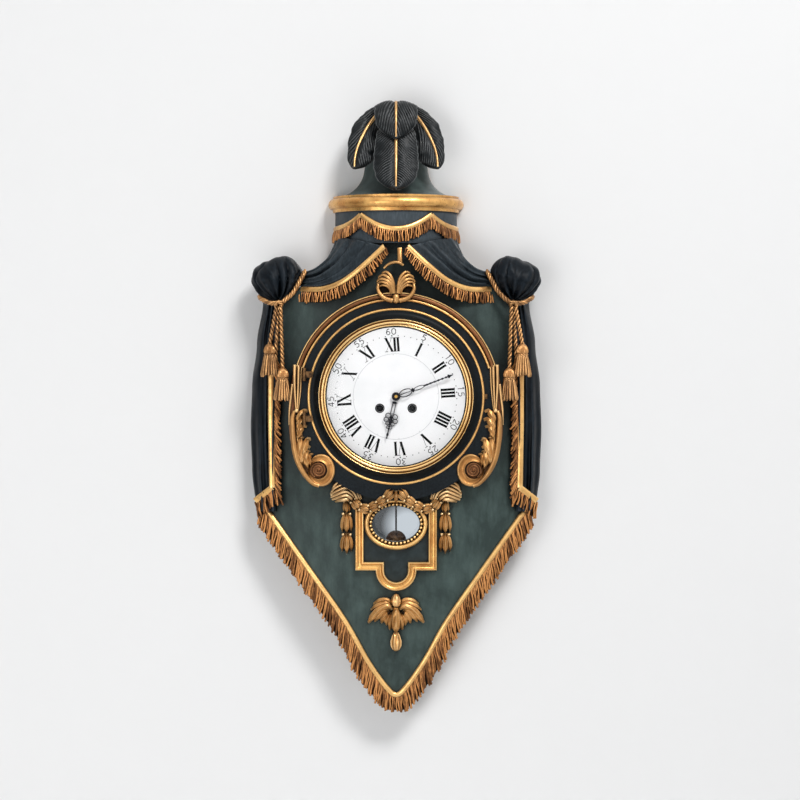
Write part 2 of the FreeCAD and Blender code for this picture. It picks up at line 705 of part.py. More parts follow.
def fold_wire(upper, lower, lean, thick, fold, bulge):
    """Flat section of hanging cloth: folded front, plain back."""
    chord = lower - upper
    lean = (lean - chord * (lean.dot(chord) / chord.dot(chord))).normalize()
    spots = []
    for step in range(9):
        share = step / 8
        wave = fold if step % 2 else -fold
        spots.append(upper + chord * share + lean * (bulge * math.sin(math.pi * share) + wave + fold))
    inner = lean * -thick
    back = Part.Arc(lower + inner, upper + chord * 0.5 + inner + lean * bulge, upper + inner).toShape()
    return Part.Wire([curve(spots), Part.makeLine(spots[-1], lower + inner), back,
                      Part.makeLine(upper + inner, spots[0])])


swag_stops = [
    (Vector(139, 181, 50), Vector(139, 157, 52), 1.0),
    (Vector(119, 188, 56), Vector(106, 157, 70), 3.0),
    (Vector(103, 202, 58), Vector(76, 168, 86), 6.0),
    (Vector(94, 217, 48), Vector(46, 191, 94), 9.0),
    (Vector(89, 233, 30), Vector(17, 218, 95), 13.0)]
swag_lean = Vector(0.5, 0.25, 0.85)
right_swag = Part.makeLoft([
    fold_wire(upper, lower, swag_lean, size("swag_thick"), size("swag_fold"), bulge)
    for upper, lower, bulge in swag_stops], True, False)
fringe_aims = [Vector(0.2, -1, 0.1), Vector(-0.1, -1, 0.1), Vector(-0.35, -0.9, 0.1),
               Vector(-0.4, -0.85, 0.05), Vector(-0.4, -0.75, 0)]
fringe_shares = (1.0, 1.0, 1.0, 0.9, 0.55)
swag_border = Part.makeLoft([
    fold_wire(stop[1] + aim * -6, stop[1] + aim * (size("swag_fringe") * share), Vector(0, 0.1, 1),
              size("swag_thick") * 0.5, 1.0, 3.0)
    for stop, aim, share in zip(swag_stops, fringe_aims, fringe_shares)], True, False)
valance_shape = in_place(valance)
swag_border = largest(seated(swag_border, right_knot, valance_shape, valance_fringe, panel_block))
right_swag = seated(right_swag, right_knot, valance_shape, valance_fringe, panel_block, swag_border)
right_swag = largest(right_swag)
carved("right_swag", right_swag)
carved("left_swag", mirrored(right_swag))
carved("swag_fringes", swag_border, mirrored(swag_border))

# Drapes at the sides: they turn back to the wall past the panel edge.


def drape_section(up, half):
    """Level section of the right drape."""
    edge = size("drape_edge")
    proud = size("drape_proud")
    reach = half - edge
    front_line = [Vector(edge + reach * share, up,
                         max(front_out(edge + reach * share, up, proud * lift), 2.0))
                  for share, lift in ((0.0, 0.9), (0.22, 1.15), (0.4, 0.75), (0.6, 1.1), (0.76, 0.6))]
    front_line += [Vector(half - 1.5, up, 34), Vector(half, up, 20), Vector(half - 3, up, 0)]
    back = [front_line[-1], Vector(half - 26, up, 0), Vector(edge, up, 20), front_line[0]]
    return Part.Wire([curve(front_line), *Part.makePolygon(back).Edges])


wide = size("drape_half")
right_drape = Part.makeLoft([drape_section(up, half) for up, half in (
    (136.0, wide - 18), (70.0, wide - 9), (0.0, wide - 2), (-60.0, wide),
    (-120.0, wide - 2), (size("drape_bottom"), wide - 8))], True, False)
right_drape = seated(right_drape, panel_block, right_knot)
carved("right_drape", right_drape)
carved("left_drape", mirrored(right_drape))
hem = size("drape_bottom")
border_in = size("drape_fringe_in")
border_out = size("drape_border_out")
drape_border_wire = flat([
    (border_in, 60), (border_out, 60), (border_out, hem + 38), (border_out + 14, hem + 26),
    (wide - 6, hem + 14), (wide - 8, hem - 4), (border_in, hem - 4)])
drape_border = shell_of(drape_border_wire, 0.0, size("drape_proud") + 5.0).cut([right_drape])
carved("drape_fringes", drape_border, mirrored(drape_border))

# Border and fringe round the foot.

border = size("border_width")
foot_strip = shell_of(foot_wire(-border / 2, border / 2 + size("foot_fringe")), 0.0, size("fringe_proud"))
foot_strip = seated(foot_strip, drape_border, mirrored(drape_border), right_drape, mirrored(right_drape))
carved("edge_fringe", foot_strip)

# Ropes round the knots with their cords and tassels, all carved.


def rope(points, radius):
    """Round rope along a smooth line."""
    path = curve(points)
    start = path.tangentAt(path.FirstParameter)
    ring = Part.Wire([Part.makeCircle(radius, points[0], start)])
    return Part.Wire([path]).makePipeShell([ring], True, True)


def tassel(x, up, out):
    """Turned tassel hanging from its cord."""
    foot = size("tassel_radius")
    long = size("tassel_length")
    return lathe_solid([
        (0.0, 0.0), (size("cord_radius"), 0.0), (0.42 * foot, -0.04 * long), (0.56 * foot, -0.13 * long),
        (0.5 * foot, -0.22 * long), (0.36 * foot, -0.27 * long), (0.46 * foot, -0.32 * long),
        (0.78 * foot, -0.62 * long), (foot, -long), (0.0, -long)], Vector(x, up, out), Vector(0, 1, 0))


knot_x = size("knot_half")
knot_low = size("knot_up") - 34
rope_out = size("knot_out") + 26
ring_rope = rope([Vector(knot_x - 39, knot_low + 44, rope_out - 14),
                  Vector(knot_x - 27, knot_low + 20, rope_out - 2),
                  Vector(knot_x - 4, knot_low, rope_out), Vector(knot_x + 14, knot_low + 2, rope_out - 6),
                  Vector(knot_x + 23, knot_low + 7, rope_out - 17)], size("rope_radius"))
outer_top = Vector(knot_x + 10, 78, rope_out + 4)
inner_top = Vector(knot_x - 9, 44, rope_out + 6)
knot_spot = Vector(knot_x - 2, knot_low - 1, rope_out + 1)
hanging = [rope([knot_spot, (knot_spot + spot) / 2 + Vector(0, 0, 1.5), spot - Vector(0, 2, 0)],
                size("cord_radius")) for spot in (outer_top, inner_top)]
rope_group = fused(ring_rope, Part.makeSphere(2.0 * size("cord_radius") + 2, knot_spot), *hanging,
                   tassel(*outer_top), tassel(*inner_top))
rope_group = seated(rope_group, right_knot, right_drape, right_swag, swag_border, drape_border,
                    panel_block)
rope_group = largest(rope_group)

# Dial surround with its gilt arch.

surround_front = size("surround_out")
surround = lathe_solid([
    (size("surround_bore"), size("dial_plate_out") + size("dial_plate_thick")),
    (size("surround_bore"), surround_front), (size("surround_radius"), surround_front),
    (size("surround_radius"), 0.0), (size("dial_bore"), 0.0),
    (size("dial_bore"), size("dial_plate_out") + size("dial_plate_thick"))])
surround = seated(surround, front)
carved("dial_surround", surround)
arch_outer = size("surround_radius")
arch_inner = arch_outer - size("arch_width")
arch_bead = arch_inner + size("arch_bead")
arch_lift = surround_front + size("arch_proud")
arch_quirk = surround_front + 0.3 * size("arch_proud")
arch_face = Part.Face(Part.Wire([
    Part.makeLine(Vector(arch_inner, 0, surround_front), Vector(arch_outer, 0, surround_front)),
    Part.makeLine(Vector(arch_outer, 0, surround_front), Vector(arch_outer, 0, arch_quirk)),
    Part.Arc(Vector(arch_outer, 0, arch_quirk), Vector((arch_bead + arch_outer) / 2, 0, arch_lift),
             Vector(arch_bead, 0, arch_quirk)).toShape(),
    Part.Arc(Vector(arch_bead, 0, arch_quirk), Vector((arch_inner + arch_bead) / 2, 0, arch_lift - 2),
             Vector(arch_inner, 0, surround_front)).toShape()]))
arch_face.rotate(AXIS, OUTWARD, size("arch_start"))
arch = arch_face.revolve(AXIS, OUTWARD, 180 - 2 * size("arch_start"))
arch = seated(arch, right_swag, mirrored(right_swag), swag_border, mirrored(swag_border))

# Crest leaves over the dial: two curled leaves on a stem above a crescent.

crest_up = size("surround_radius") + 8.5
crest_out = surround_front + 1
crescent = Part.makeTorus(20, 5, Vector(0, crest_up, crest_out), OUTWARD)
upper_half = Part.makeBox(80, 40, 60, Vector(-40, crest_up + 6, crest_out - 30))
eye = Part.makeTorus(8, 4, Vector(12, crest_up + 2, crest_out + 2), OUTWARD)
curl = bud(Vector(8, crest_up - 2, crest_out), Vector(26, crest_up + 20, crest_out + 1), 7)
stem = bud(Vector(0, crest_up - 18, crest_out + 2), Vector(0, crest_up + 36, crest_out), 6)
backing = Part.makeCylinder(22, 60, Vector(0, crest_up, crest_out - 60), OUTWARD)
crest = fused(backing, crescent.cut(upper_half), eye, mirrored(eye), curl, mirrored(curl), stem)
crest = seated(crest, panel_block, surround, arch, right_swag, mirrored(right_swag), swag_border,
               mirrored(swag_border), valance_shape, valance_fringe)
carved("crest", largest(crest))

# Consoles: acanthus limbs that hug the dial surround and end in volutes.


def limb_wire(x, up, half, top_out, turn):
    """Upright-sided section with a round top across the limb."""
    across = Vector(math.cos(math.radians(turn)), math.sin(math.radians(turn)), 0) * half
    foot = Vector(x, up, 30)
    return Part.Wire([
        Part.makeLine(foot - across, foot + across),
        Part.makeLine(foot + across, Vector(x, up, top_out - 0.6 * half) + across),
        Part.Arc(Vector(x, up, top_out - 0.6 * half) + across, Vector(x, up, top_out),
                 Vector(x, up, top_out - 0.6 * half) - across).toShape(),
        Part.makeLine(Vector(x, up, top_out - 0.6 * half) - across, foot - across)])


volute_x = size("volute_half")
volute_up = size("volute_up")
volute_r = size("volute_radius")
limb = Part.makeLoft([limb_wire(*stop) for stop in (
    (146, 38, 4, 94, 10), (149, 8, 7, 94, 2), (150, -32, 9, 95, -12), (145, -66, 11, 95, -26),
    (volute_x + 22, volute_up + 17, 11, 94, -45),
    (volute_x + 15, volute_up - 6, 9, 92, -70))], True, False)
volute = lathe_solid([
    (0.0, -70.0), (volute_r, -70.0), (volute_r, -3.0), (volute_r - 2, 0.0), (volute_r - 6, 0.0),
    (volute_r - 8, -4.0), (0.36 * volute_r, -2.0), (0.3 * volute_r, 3.0), (0.0, 5.0)],
    Vector(volute_x, volute_up, surround_front))
console = seated(fused(limb, volute), panel_block, surround, arch, right_drape, drape_border)
console = largest(console)
carved("consoles", console, mirrored(console))
rope_group = largest(seated(rope_group, console))
carved("ropes", rope_group, mirrored(rope_group))

# Apron moulding with its field, the window ring, glass and garland.

half = size("apron_half")
tongue = size("apron_tongue")
low = size("apron_bottom")
width = size("apron_width")


def apron_wire(inset):
    """Outline of the apron, moved inward."""
    arm = half - inset
    bulb = tongue - inset
    rise = low + inset
    side = [Vector(arm, size("apron_top") - inset, 0), Vector(arm, rise, 0), Vector(bulb, rise, 0)]
    if inset:
        side.append(Vector(bulb, low, 0))
    edges = Part.makePolygon([flip(spot) for spot in reversed(side)] + side).Edges
    round_end = Part.Arc(Vector(bulb, low, 0), Vector(0, low - bulb, 0), Vector(-bulb, low, 0)).toShape()
    return Part.Wire(edges + [round_end])


apron = fused(shell_of(apron_wire(0.0), 0.0, size("apron_proud")).cut(
    prism(apron_wire(width), -40.0, 140.0)), shell_of(apron_wire(width), 0.0, size("apron_field")))
ring_wide = size("window_ring_width")
window_up = size("window_up")
field = size("apron_field")
ring_top = field + size("window_ring_proud")
ring_outside = oval(size("window_half") + ring_wide, size("window_rise") + ring_wide, window_up)
bead_edge = oval(size("window_half") + 0.5 * ring_wide, size("window_rise") + 0.5 * ring_wide, window_up)
window_ring = shell_of(ring_outside, field, ring_top).cut(
    [shell_of(bead_edge, ring_top - 4.0, ring_top + 5.0), window_hole])
window_ring = seated(window_ring, surround)
carved("window_ring", window_ring)
apron = seated(apron, window_hole, surround, window_ring)
carved("apron", largest(apron))
glass_low = -size("panel_thick") - size("window_glass_thick")
carved("window_glass", shell_of(oval(size("window_half") + 6, size("window_rise") + 6, window_up),
                                glass_low, -size("panel_thick")))

cuff_x = size("cuff_half")
cuff_up = size("cuff_up")
leaf = size("leaf_radius")


def on_front(x, up, proud):
    """Place at a height above the bowed front."""
    return Vector(x, up, front_out(x, up, proud))


cuff = bud(on_front(cuff_x - 23, cuff_up + 4, 6), on_front(cuff_x + 23, cuff_up - 2, 6), 15)
drop_top = on_front(cuff_x - 1, cuff_up - 4, 5)
drop_foot = on_front(cuff_x - 1, size("drop_end"), 5)
tier = (drop_foot - drop_top).Length / 3
drop_corners = [(0.0, 0.0)]
for step in range(3):
    drop_corners += [(0.35 * leaf, tier * step), (leaf, tier * (step + 0.35)),
                     (0.8 * leaf, tier * (step + 0.8))]
drop_piece = lathe_solid(drop_corners + [(0.0, 3 * tier)])
drop_piece.Placement = Placement(drop_top, Rotation(OUTWARD, drop_foot - drop_top))
swag_line = [on_front(cuff_x - 12, cuff_up - 12, 6), on_front(cuff_x - 27, cuff_up - 25, 8),
             on_front(cuff_x - 43, cuff_up - 22, 12), on_front(cuff_x - 58, cuff_up - 12, 19),
             on_front(0, cuff_up - 3, 20)]
swag_line += [flip(spot) for spot in reversed(swag_line[:-1])]
garland = fused(rope(swag_line, 0.65 * leaf), cuff, mirrored(cuff), drop_piece, mirrored(drop_piece))
garland = seated(garland, front, surround, apron, window_ring, console, mirrored(console))
carved("garland", *[solid for solid in garland.Solids if solid.Volume > 200])

# Leaf spray and bud under the apron.

wing = size("spray_half")
spray_top = size("spray_top")
spray_low = size("spray_bottom")
spray_mid = (spray_top + spray_low) / 2
right_side = [(0, spray_top), (0.2 * wing, spray_top - 6), (0.34 * wing, spray_top - 16),
              (wing, spray_top - 6), (0.72 * wing, spray_mid + 6), (0.86 * wing, spray_mid - 4),
              (0.5 * wing, spray_mid - 8), (0.44 * wing, spray_low + 10), (0.16 * wing, spray_low + 4),
              (0, spray_low)]
spray_wire = flat(right_side + [(-x, up) for x, up in reversed(right_side[1:-1])])
bud_end = spray_low - size("bud_length")
spray = fused(shell_of(spray_wire, 0.0, 8.0),
              bud(on_front(0, spray_top + 2, 5), on_front(0, spray_low - 2, 6), 7),
              bud(on_front(0, spray_low + 2, 5), on_front(0, bud_end, 4), size("bud_radius")))
carved("leaf_spray", seated(spray, front, apron))

# Door: turned ring with a gilt fillet, reeded bezel and convex glass.

door = turned("door_frame", [
    ("Sizes.door_bore", "Sizes.surround_out + Sizes.door_gap"),
    ("Sizes.door_radius", "Sizes.surround_out + Sizes.door_gap"),
    ("Sizes.door_radius", "Sizes.door_edge_out", "Sizes.door_fillet * 0.56", 1),
    ("Sizes.door_radius - Sizes.door_fillet", "Sizes.door_edge_out"),
    ("Sizes.door_radius - Sizes.door_fillet", "Sizes.door_edge_out - 1", "24", 1),
    ("Sizes.bezel_radius", "Sizes.door_crown_out"),
    ("Sizes.bezel_radius", "Sizes.door_seat_out"),
    ("Sizes.door_bore", "Sizes.door_seat_out")])
stand(door, "door_frame")
reed = "(Sizes.bezel_radius - Sizes.bezel_bore) / 3"
bezel = turned("bezel", [
    ("Sizes.bezel_bore", "Sizes.door_seat_out"),
    ("Sizes.bezel_radius", "Sizes.door_seat_out"),
    ("Sizes.bezel_radius", "Sizes.door_seat_out + 6", f"0.6 * {reed}", 1),
    (f"Sizes.bezel_bore + 2 * {reed}", "Sizes.door_seat_out + 7", f"0.6 * {reed}", 1),
    (f"Sizes.bezel_bore + {reed}", "Sizes.door_seat_out + 6", f"0.75 * {reed}", 1),
    ("Sizes.bezel_bore", "Sizes.door_seat_out + 3")])
stand(bezel, "bezel")
glass_edge = "(Sizes.door_bore - 0.8)"
bend = f"({glass_edge} * {glass_edge} + Sizes.glass_rise * Sizes.glass_rise) / (2 * Sizes.glass_rise)"
glass = turned("door_glass", [
    ("0", "Sizes.door_seat_out - Sizes.glass_thick + Sizes.glass_rise", bend, -1),
    (glass_edge, "Sizes.door_seat_out - Sizes.glass_thick"),
    (glass_edge, "Sizes.door_seat_out", bend, 1),
    ("0", "Sizes.door_seat_out + Sizes.glass_rise")])
glass_shape = in_place(glass).cut(in_place(bezel))
doc.removeObject("door_glass")
carved("door_glass", glass_shape)

# Hinges at the left of the door, and the catch at its right.

hinge_x = -size("hinge_axis_x")
hinge_out = size("hinge_axis_out")
hinge_up = size("hinge_up")
knuckle = size("knuckle_radius")
long = size("knuckle_length")
pin = size("pin_radius")
fit = size("pin_fit")


def upright_round(radius, start, end):
    """Upright cylinder on the hinge axis."""
    return Part.makeCylinder(radius, end - start, Vector(hinge_x, start, hinge_out), Vector(0, 1, 0))


door_shape = in_place(door)
leaves = []
posts = []
for middle in (hinge_up, -hinge_up):
    strap = Part.makeBox(12, long, 1.6, Vector(hinge_x, middle - long / 2, hinge_out - 0.8))
    leaf_plate = upright_round(knuckle, middle - long / 2, middle + long / 2).fuse(strap)
    leaf_plate = leaf_plate.cut(upright_round(pin + fit, middle - long, middle + long))
    leaves.append(leaf_plate.cut(door_shape).Solids[0])
    post = upright_round(pin, middle - long / 2 - 5, middle + long / 2 + 5)
    for low_end, high_end in ((middle - long / 2 - 5, middle - long / 2 - 0.3),
                              (middle + long / 2 + 0.3, middle + long / 2 + 5)):
        bracket = Part.makeBox(2 * knuckle, high_end - low_end, hinge_out - surround_front,
                               Vector(hinge_x - knuckle, low_end, surround_front))
        post = post.fuse([upright_round(knuckle, low_end, high_end), bracket])
    posts.append(post.removeSplitter())
carved("door_hinges", *leaves)
carved("hinge_pins", *posts)
carved("dial_arch", largest(seated(arch, *posts)))
catch = Part.makeBox(9, 7, 4, Vector(size("door_radius") - 5, -3.5, size("door_edge_out") - 4))
carved("door_catch", largest(catch.cut(door_shape)))

# Dial and dial plate.

dial_edge = "Sizes.dial_radius"
dial_bend = ("(Sizes.dial_radius * Sizes.dial_radius + Sizes.dial_rise * Sizes.dial_rise)"
             " / (2 * Sizes.dial_rise)")
dial = turned("dial", [
    ("0", "Sizes.dial_out - Sizes.dial_thick", dial_bend, -1),
    (dial_edge, "Sizes.dial_out - Sizes.dial_thick - Sizes.dial_rise"),
    (dial_edge, "Sizes.dial_out - Sizes.dial_rise", dial_bend, 1),
    ("0", "Sizes.dial_out")])
holes = sketch_on(dial, "XY_Plane", "dial_holes_outline")
disc(holes, "Sizes.dial_hole")
disc(holes, "Sizes.winding_hole", "-Sizes.winding_half", "-Sizes.winding_drop")
disc(holes, "Sizes.winding_hole", "Sizes.winding_half", "-Sizes.winding_drop")
dial_holes = dial.newObject("PartDesign::Pocket", "dial_holes")
dial_holes.Profile = holes
dial_holes.Reversed = True
dial_holes.setExpression("Length", "Sizes.dial_out + 10")
stand(dial, "dial")

spot = "Sizes.foot_circle * 0.7071"
corners = [(f"{a}{spot}", f"{b}{spot}") for a in ("", "-") for b in ("", "-")]
back_of_feet = "(Sizes.front_plate_out + Sizes.plate_thick)"
dial_plate = doc.addObject("PartDesign::Body", "dial_plate")
padded(dial_plate, "dial_plate_disc", "Sizes.dial_plate_thick", lambda sketch: (
    disc(sketch, "Sizes.dial_plate_radius"), disc(sketch, "Sizes.dial_plate_bore")))
feet = padded(dial_plate, "dial_plate_feet", f"Sizes.dial_plate_out - {back_of_feet}", lambda sketch: [
    disc(sketch, "Sizes.foot_radius", *corner) for corner in corners])
feet.Reversed = True
stand(dial_plate, "dial_plate", out="Sizes.dial_plate_out")

# Hands: pierced, on a round boss. Both are drawn along the x axis and then turned to their places.

thin = size("hand_thick")
hour_out = size("hour_hand_out")
minute_out = size("minute_hand_out")


def hoop(along, aside, long, wide, line):
    """Oval ring in a hand; its long axis may lie along or across the hand."""
    outside = Part.Ellipse(AXIS, max(long, wide), min(long, wide))
    inside = Part.Ellipse(AXIS, max(long, wide) - line, min(long, wide) - line)
    ring = Part.Face(Part.Wire([outside.toShape()])).cut(Part.Face(Part.Wire([inside.toShape()])))
    ring.rotate(AXIS, OUTWARD, 0 if long >= wide else 90)
    ring.translate(Vector(along, aside, 0))
    return prism(ring.Faces[0], 0, thin)


def blade(*stops):
    """Flat blade along a hand, given by its half widths from one end to the other."""
    edge = [(along, half) for along, half in stops]
    return prism(Part.Face(flat(edge + [(along, -half) for along, half in reversed(edge)])), 0, thin)


def rods(aside, start, end, line):
    """Two slim rods side by side along a hand."""
    return [Part.makeBox(end - start, line, thin, Vector(start, sign * aside - line / 2, 0))
            for sign in (1, -1)]


def hand(boss, bore, turn, out, *shapes):
    """Join the shapes of a hand to its boss, pierce the boss and set the hand in place."""
    joined = fused(Part.makeCylinder(boss, thin), *shapes)
    joined = joined.cut(Part.makeCylinder(bore, thin))
    joined.rotate(AXIS, OUTWARD, turn)
    joined.translate(Vector(0, 0, out))
    return largest(joined)


long = size("hour_length")
hour_hand = hand(
    7.0, size("hour_pipe"), size("hour_angle"), hour_out,
    blade((7.4, 1.0), (9.2, 4.4), (11.0, 1.0)), *rods(2.3, 8.0, 28.0, 1.2),
    blade((25.0, 0.5), (29.0, 0.7), (35.5, 3.3), (42.0, 0.7), (50.0, 0.7)),
    *[hoop(along, sign * aside, wide, wide, line) for sign in (1, -1) for along, aside, wide, line in (
        (29.5, 5.2, 4.1, 1.2), (35.5, 6.7, 3.8, 1.2), (40.5, 3.7, 3.1, 1.1), (46.0, 2.2, 2.4, 0.9))],
    blade((48.0, 1.0), (53.0, 0.7), (57.0, 1.8), (60.0, 0.6), (long - 1.0, 1.2), (long, 0.3)))
carved("hour_hand", hour_hand)
long = size("minute_length")
beads = [hoop(48.0 + 6.0 * step, 0.0, 2.0, 1.5, 0.8) for step in range(6)]
minute_hand = hand(
    6.3, size("cannon_pipe"), size("minute_angle"), minute_out,
    hoop(15.0, 0.0, 10.2, 5.9, 1.4), blade((5.0, 0.6), (24.0, 0.5)),
    blade((23.6, 0.8), (26.4, 3.6), (29.0, 0.8)), hoop(35.5, 0.0, 8.8, 3.0, 1.1),
    blade((42.6, 1.3), (60.0, 0.9), (long - 8.0, 0.7)), *beads,
    blade((long - 9.0, 0.7), (long - 7.4, 3.3), (long - 5.0, 1.5), (long, 0.25)))
carved("minute_hand", minute_hand)

# Wheels and pinions of the movement.

back_in = size("back_plate_out") + size("plate_thick")
front_in = size("front_plate_out")
front_face = front_in + size("plate_thick")
wheel_thick = size("wheel_thick")
staff_r = size("staff_radius")
pivot_r = size("pivot_radius")


def teeth_face(number, module, phase, addendum, dedendum, root_share, tip_share):
    """Toothed outline with straight flanks; one tooth points along the phase angle."""
    pitch = 2 * math.pi / number
    root = module * (number / 2 - dedendum)
    tip = module * (number / 2 + addendum)
    spots = []
    for tooth in range(number):
        middle = phase + tooth * pitch
        for radius, share in ((root, -root_share), (tip, -tip_share), (tip, tip_share), (root, root_share)):
            turn = middle + share * pitch
            spots.append((radius * math.cos(turn), radius * math.sin(turn)))
    return Part.Face(flat(spots))


def wheel(number, module, phase, start, spokes=5):
    """Crossed-out wheel of one thickness."""
    blank = prism(teeth_face(number, module, phase, 1.05, 1.35, 0.27, 0.10), start, start + wheel_thick)
    rim = module * (number / 2 - 1.35) - 1.8
    hub = max(0.26 * rim, staff_r + 1.2)
    windows = []
    for spoke in range(spokes):
        first = 360.0 * spoke / spokes
        ring = Part.makeCylinder(rim, wheel_thick, Vector(0, 0, start), OUTWARD, 360.0 / spokes - 13)
        ring = ring.cut(Part.makeCylinder(hub, wheel_thick, Vector(0, 0, start), OUTWARD))
        ring.rotate(AXIS, OUTWARD, first)
        windows.append(ring)
    return blank.cut(windows)


def pinion(number, module, phase, start, end):
    """Long pinion of thin leaves."""
    return prism(teeth_face(number, module, phase, 0.85, 1.45, 0.17, 0.09), start, end)


def between_plates(front_end=None, front_radius=None):
    """Arbor between the plates with its pivots; the centre arbor goes on to the hands."""
    steps = [(pivot_r, size("back_plate_out") - 0.5, back_in + 0.3),
             (staff_r, back_in + 0.3, front_in - 0.3)]
    if front_end is None:
        return staff(steps + [(pivot_r, front_in - 0.3, front_face + 0.5)])
    return staff(steps + [(front_radius, front_in - 0.3, front_end)])


def meshing(phase, number, driven, toward):
    """Phase of the driven pinion so that its gap meets the driver's tooth."""
    return toward + math.pi - math.pi / driven + (toward - phase) * number / driven


def reach(number, driven, module):
    """Distance between two meshing arbors."""
    return module * (number + driven) / 2


def arbor_between(first, first_reach, second, second_reach, side):
    """Place at given distances from two others, on one side of the line between them."""
    line = second - first
    along = (first_reach ** 2 - second_reach ** 2 + line.Length ** 2) / (2 * line.Length)
    rise = math.sqrt(first_reach ** 2 - along ** 2)
    unit = line / line.Length
    return first + unit * along + Vector(-unit.y, unit.x, 0) * (rise * side)


def angle_of(start, end):
    """Direction of one arbor from another."""
    return math.atan2(end.y - start.y, end.x - start.x)


centre_at = Vector(0, 0, 0)
going_at = Vector(-size("winding_half"), -size("winding_drop"), 0)
strike_at = Vector(size("winding_half"), -size("winding_drop"), 0)
second_at = arbor_between(
    going_at, reach(count("great_teeth"), count("second_leaves"), size("great_module")),
    centre_at, reach(count("second_teeth"), count("centre_leaves"), size("second_module")), 1)
third_turn = math.radians(size("third_angle"))
third_reach = reach(count("centre_teeth"), count("third_leaves"), size("centre_module"))
third_at = Vector(math.cos(third_turn), math.sin(third_turn), 0) * third_reach
escape_reach = reach(count("third_teeth"), count("escape_leaves"), size("third_module"))
escape_at = Vector(0, third_at.y + math.sqrt(escape_reach ** 2 - third_at.x ** 2), 0)
anchor_at = escape_at + Vector(0, size("escape_radius") * math.sqrt(2), 0)
pin_turn = math.radians(size("strike_angle"))
pin_reach = reach(count("great_teeth"), count("second_leaves"), size("great_module"))
pin_at = strike_at + Vector(math.cos(pin_turn), math.sin(pin_turn), 0) * pin_reach
fly_turn = math.radians(size("fly_angle"))
fly_reach = reach(count("pin_teeth"), count("fly_leaves"), size("pin_module"))
fly_at = pin_at + Vector(math.cos(fly_turn), math.sin(fly_turn), 0) * fly_reach
motion_turn = math.radians(size("motion_angle"))
motion_reach = reach(count("cannon_leaves"), count("minute_teeth"), size("motion_module"))
motion_at = Vector(math.cos(motion_turn), math.sin(motion_turn), 0) * motion_reach
hour_module = 2 * motion_reach / (count("minute_leaves") + count("hour_teeth"))

great_out = back_in + 4.0
drum_out = great_out + wheel_thick
second_out = drum_out + size("drum_length") + 2.0
centre_out = second_out + 3.2
third_out = back_in + 10.0
escape_out = back_in + 3.0
bore = size("barrel_arbor") + fit


def barrel():
    """Great wheel with its spring drum."""
    blank = prism(teeth_face(count("great_teeth"), size("great_module"), 0.0, 1.05, 1.35, 0.27, 0.10),
                  great_out, drum_out)
    drum = Part.makeCylinder(size("drum_radius"), size("drum_length"), Vector(0, 0, drum_out), OUTWARD)
    pierced = blank.fuse(drum).cut(Part.makeCylinder(bore, 60, Vector(0, 0, back_in), OUTWARD))
    return pierced.removeSplitter()


def winding_arbor():
    """Barrel arbor with its ratchet in front of the plate and its square behind the dial."""
    body = staff([
        (pivot_r * 2, size("back_plate_out") - 0.5, back_in + 0.4),
        (size("barrel_arbor"), back_in + 0.4, front_face + 0.6),
        (size("barrel_arbor"), front_face + 0.6, front_face + 4.0),
        (size("square_half"), front_face + 4.0, size("dial_out") - size("dial_rise"))])
    flat_to_flat = 2 * size("square_half")
    square = Part.makeBox(flat_to_flat, flat_to_flat, size("dial_out") - front_face - 5.0,
                          Vector(-size("square_half"), -size("square_half"), front_face + 4.0))
    saw = []
    for tooth in range(20):
        first = 2 * math.pi * tooth / 20
        saw += [(8.6 * math.cos(first), 8.6 * math.sin(first)),
                (7.0 * math.cos(first + 0.04), 7.0 * math.sin(first + 0.04))]
    ratchet = prism(flat(saw), front_face + 0.6, front_face + 2.2)
    return fused(body, square, ratchet)


carved("going_barrel", moved(barrel(), going_at.x, going_at.y))
carved("strike_barrel", moved(barrel(), strike_at.x, strike_at.y))
carved("going_arbor", moved(winding_arbor(), going_at.x, going_at.y))
carved("strike_arbor", moved(winding_arbor(), strike_at.x, strike_at.y))

second_phase = meshing(0.0, count("great_teeth"), count("second_leaves"), angle_of(going_at, second_at))
intermediate = fused(
    between_plates(),
    pinion(count("second_leaves"), size("great_module"), second_phase, great_out - 1, drum_out + 1),
    wheel(count("second_teeth"), size("second_module"), 0.0, second_out))
carved("intermediate_wheel", moved(intermediate, second_at.x, second_at.y))

centre_phase = meshing(0.0, count("second_teeth"), count("centre_leaves"), angle_of(second_at, centre_at))
centre_wheel = fused(
    between_plates(minute_out + thin + 2.0, size("centre_staff")),
    pinion(count("centre_leaves"), size("second_module"), centre_phase, second_out - 0.8, second_out + 2.2),
    wheel(count("centre_teeth"), size("centre_module"), 0.0, centre_out))
carved("centre_wheel", centre_wheel)

third_phase = meshing(0.0, count("centre_teeth"), count("third_leaves"), angle_of(centre_at, third_at))
third_wheel = fused(
    between_plates(),
    pinion(count("third_leaves"), size("centre_module"), third_phase, centre_out - 0.6, centre_out + 2.0),
    wheel(count("third_teeth"), size("third_module"), 0.0, third_out))
carved("third_wheel", moved(third_wheel, third_at.x, third_at.y))

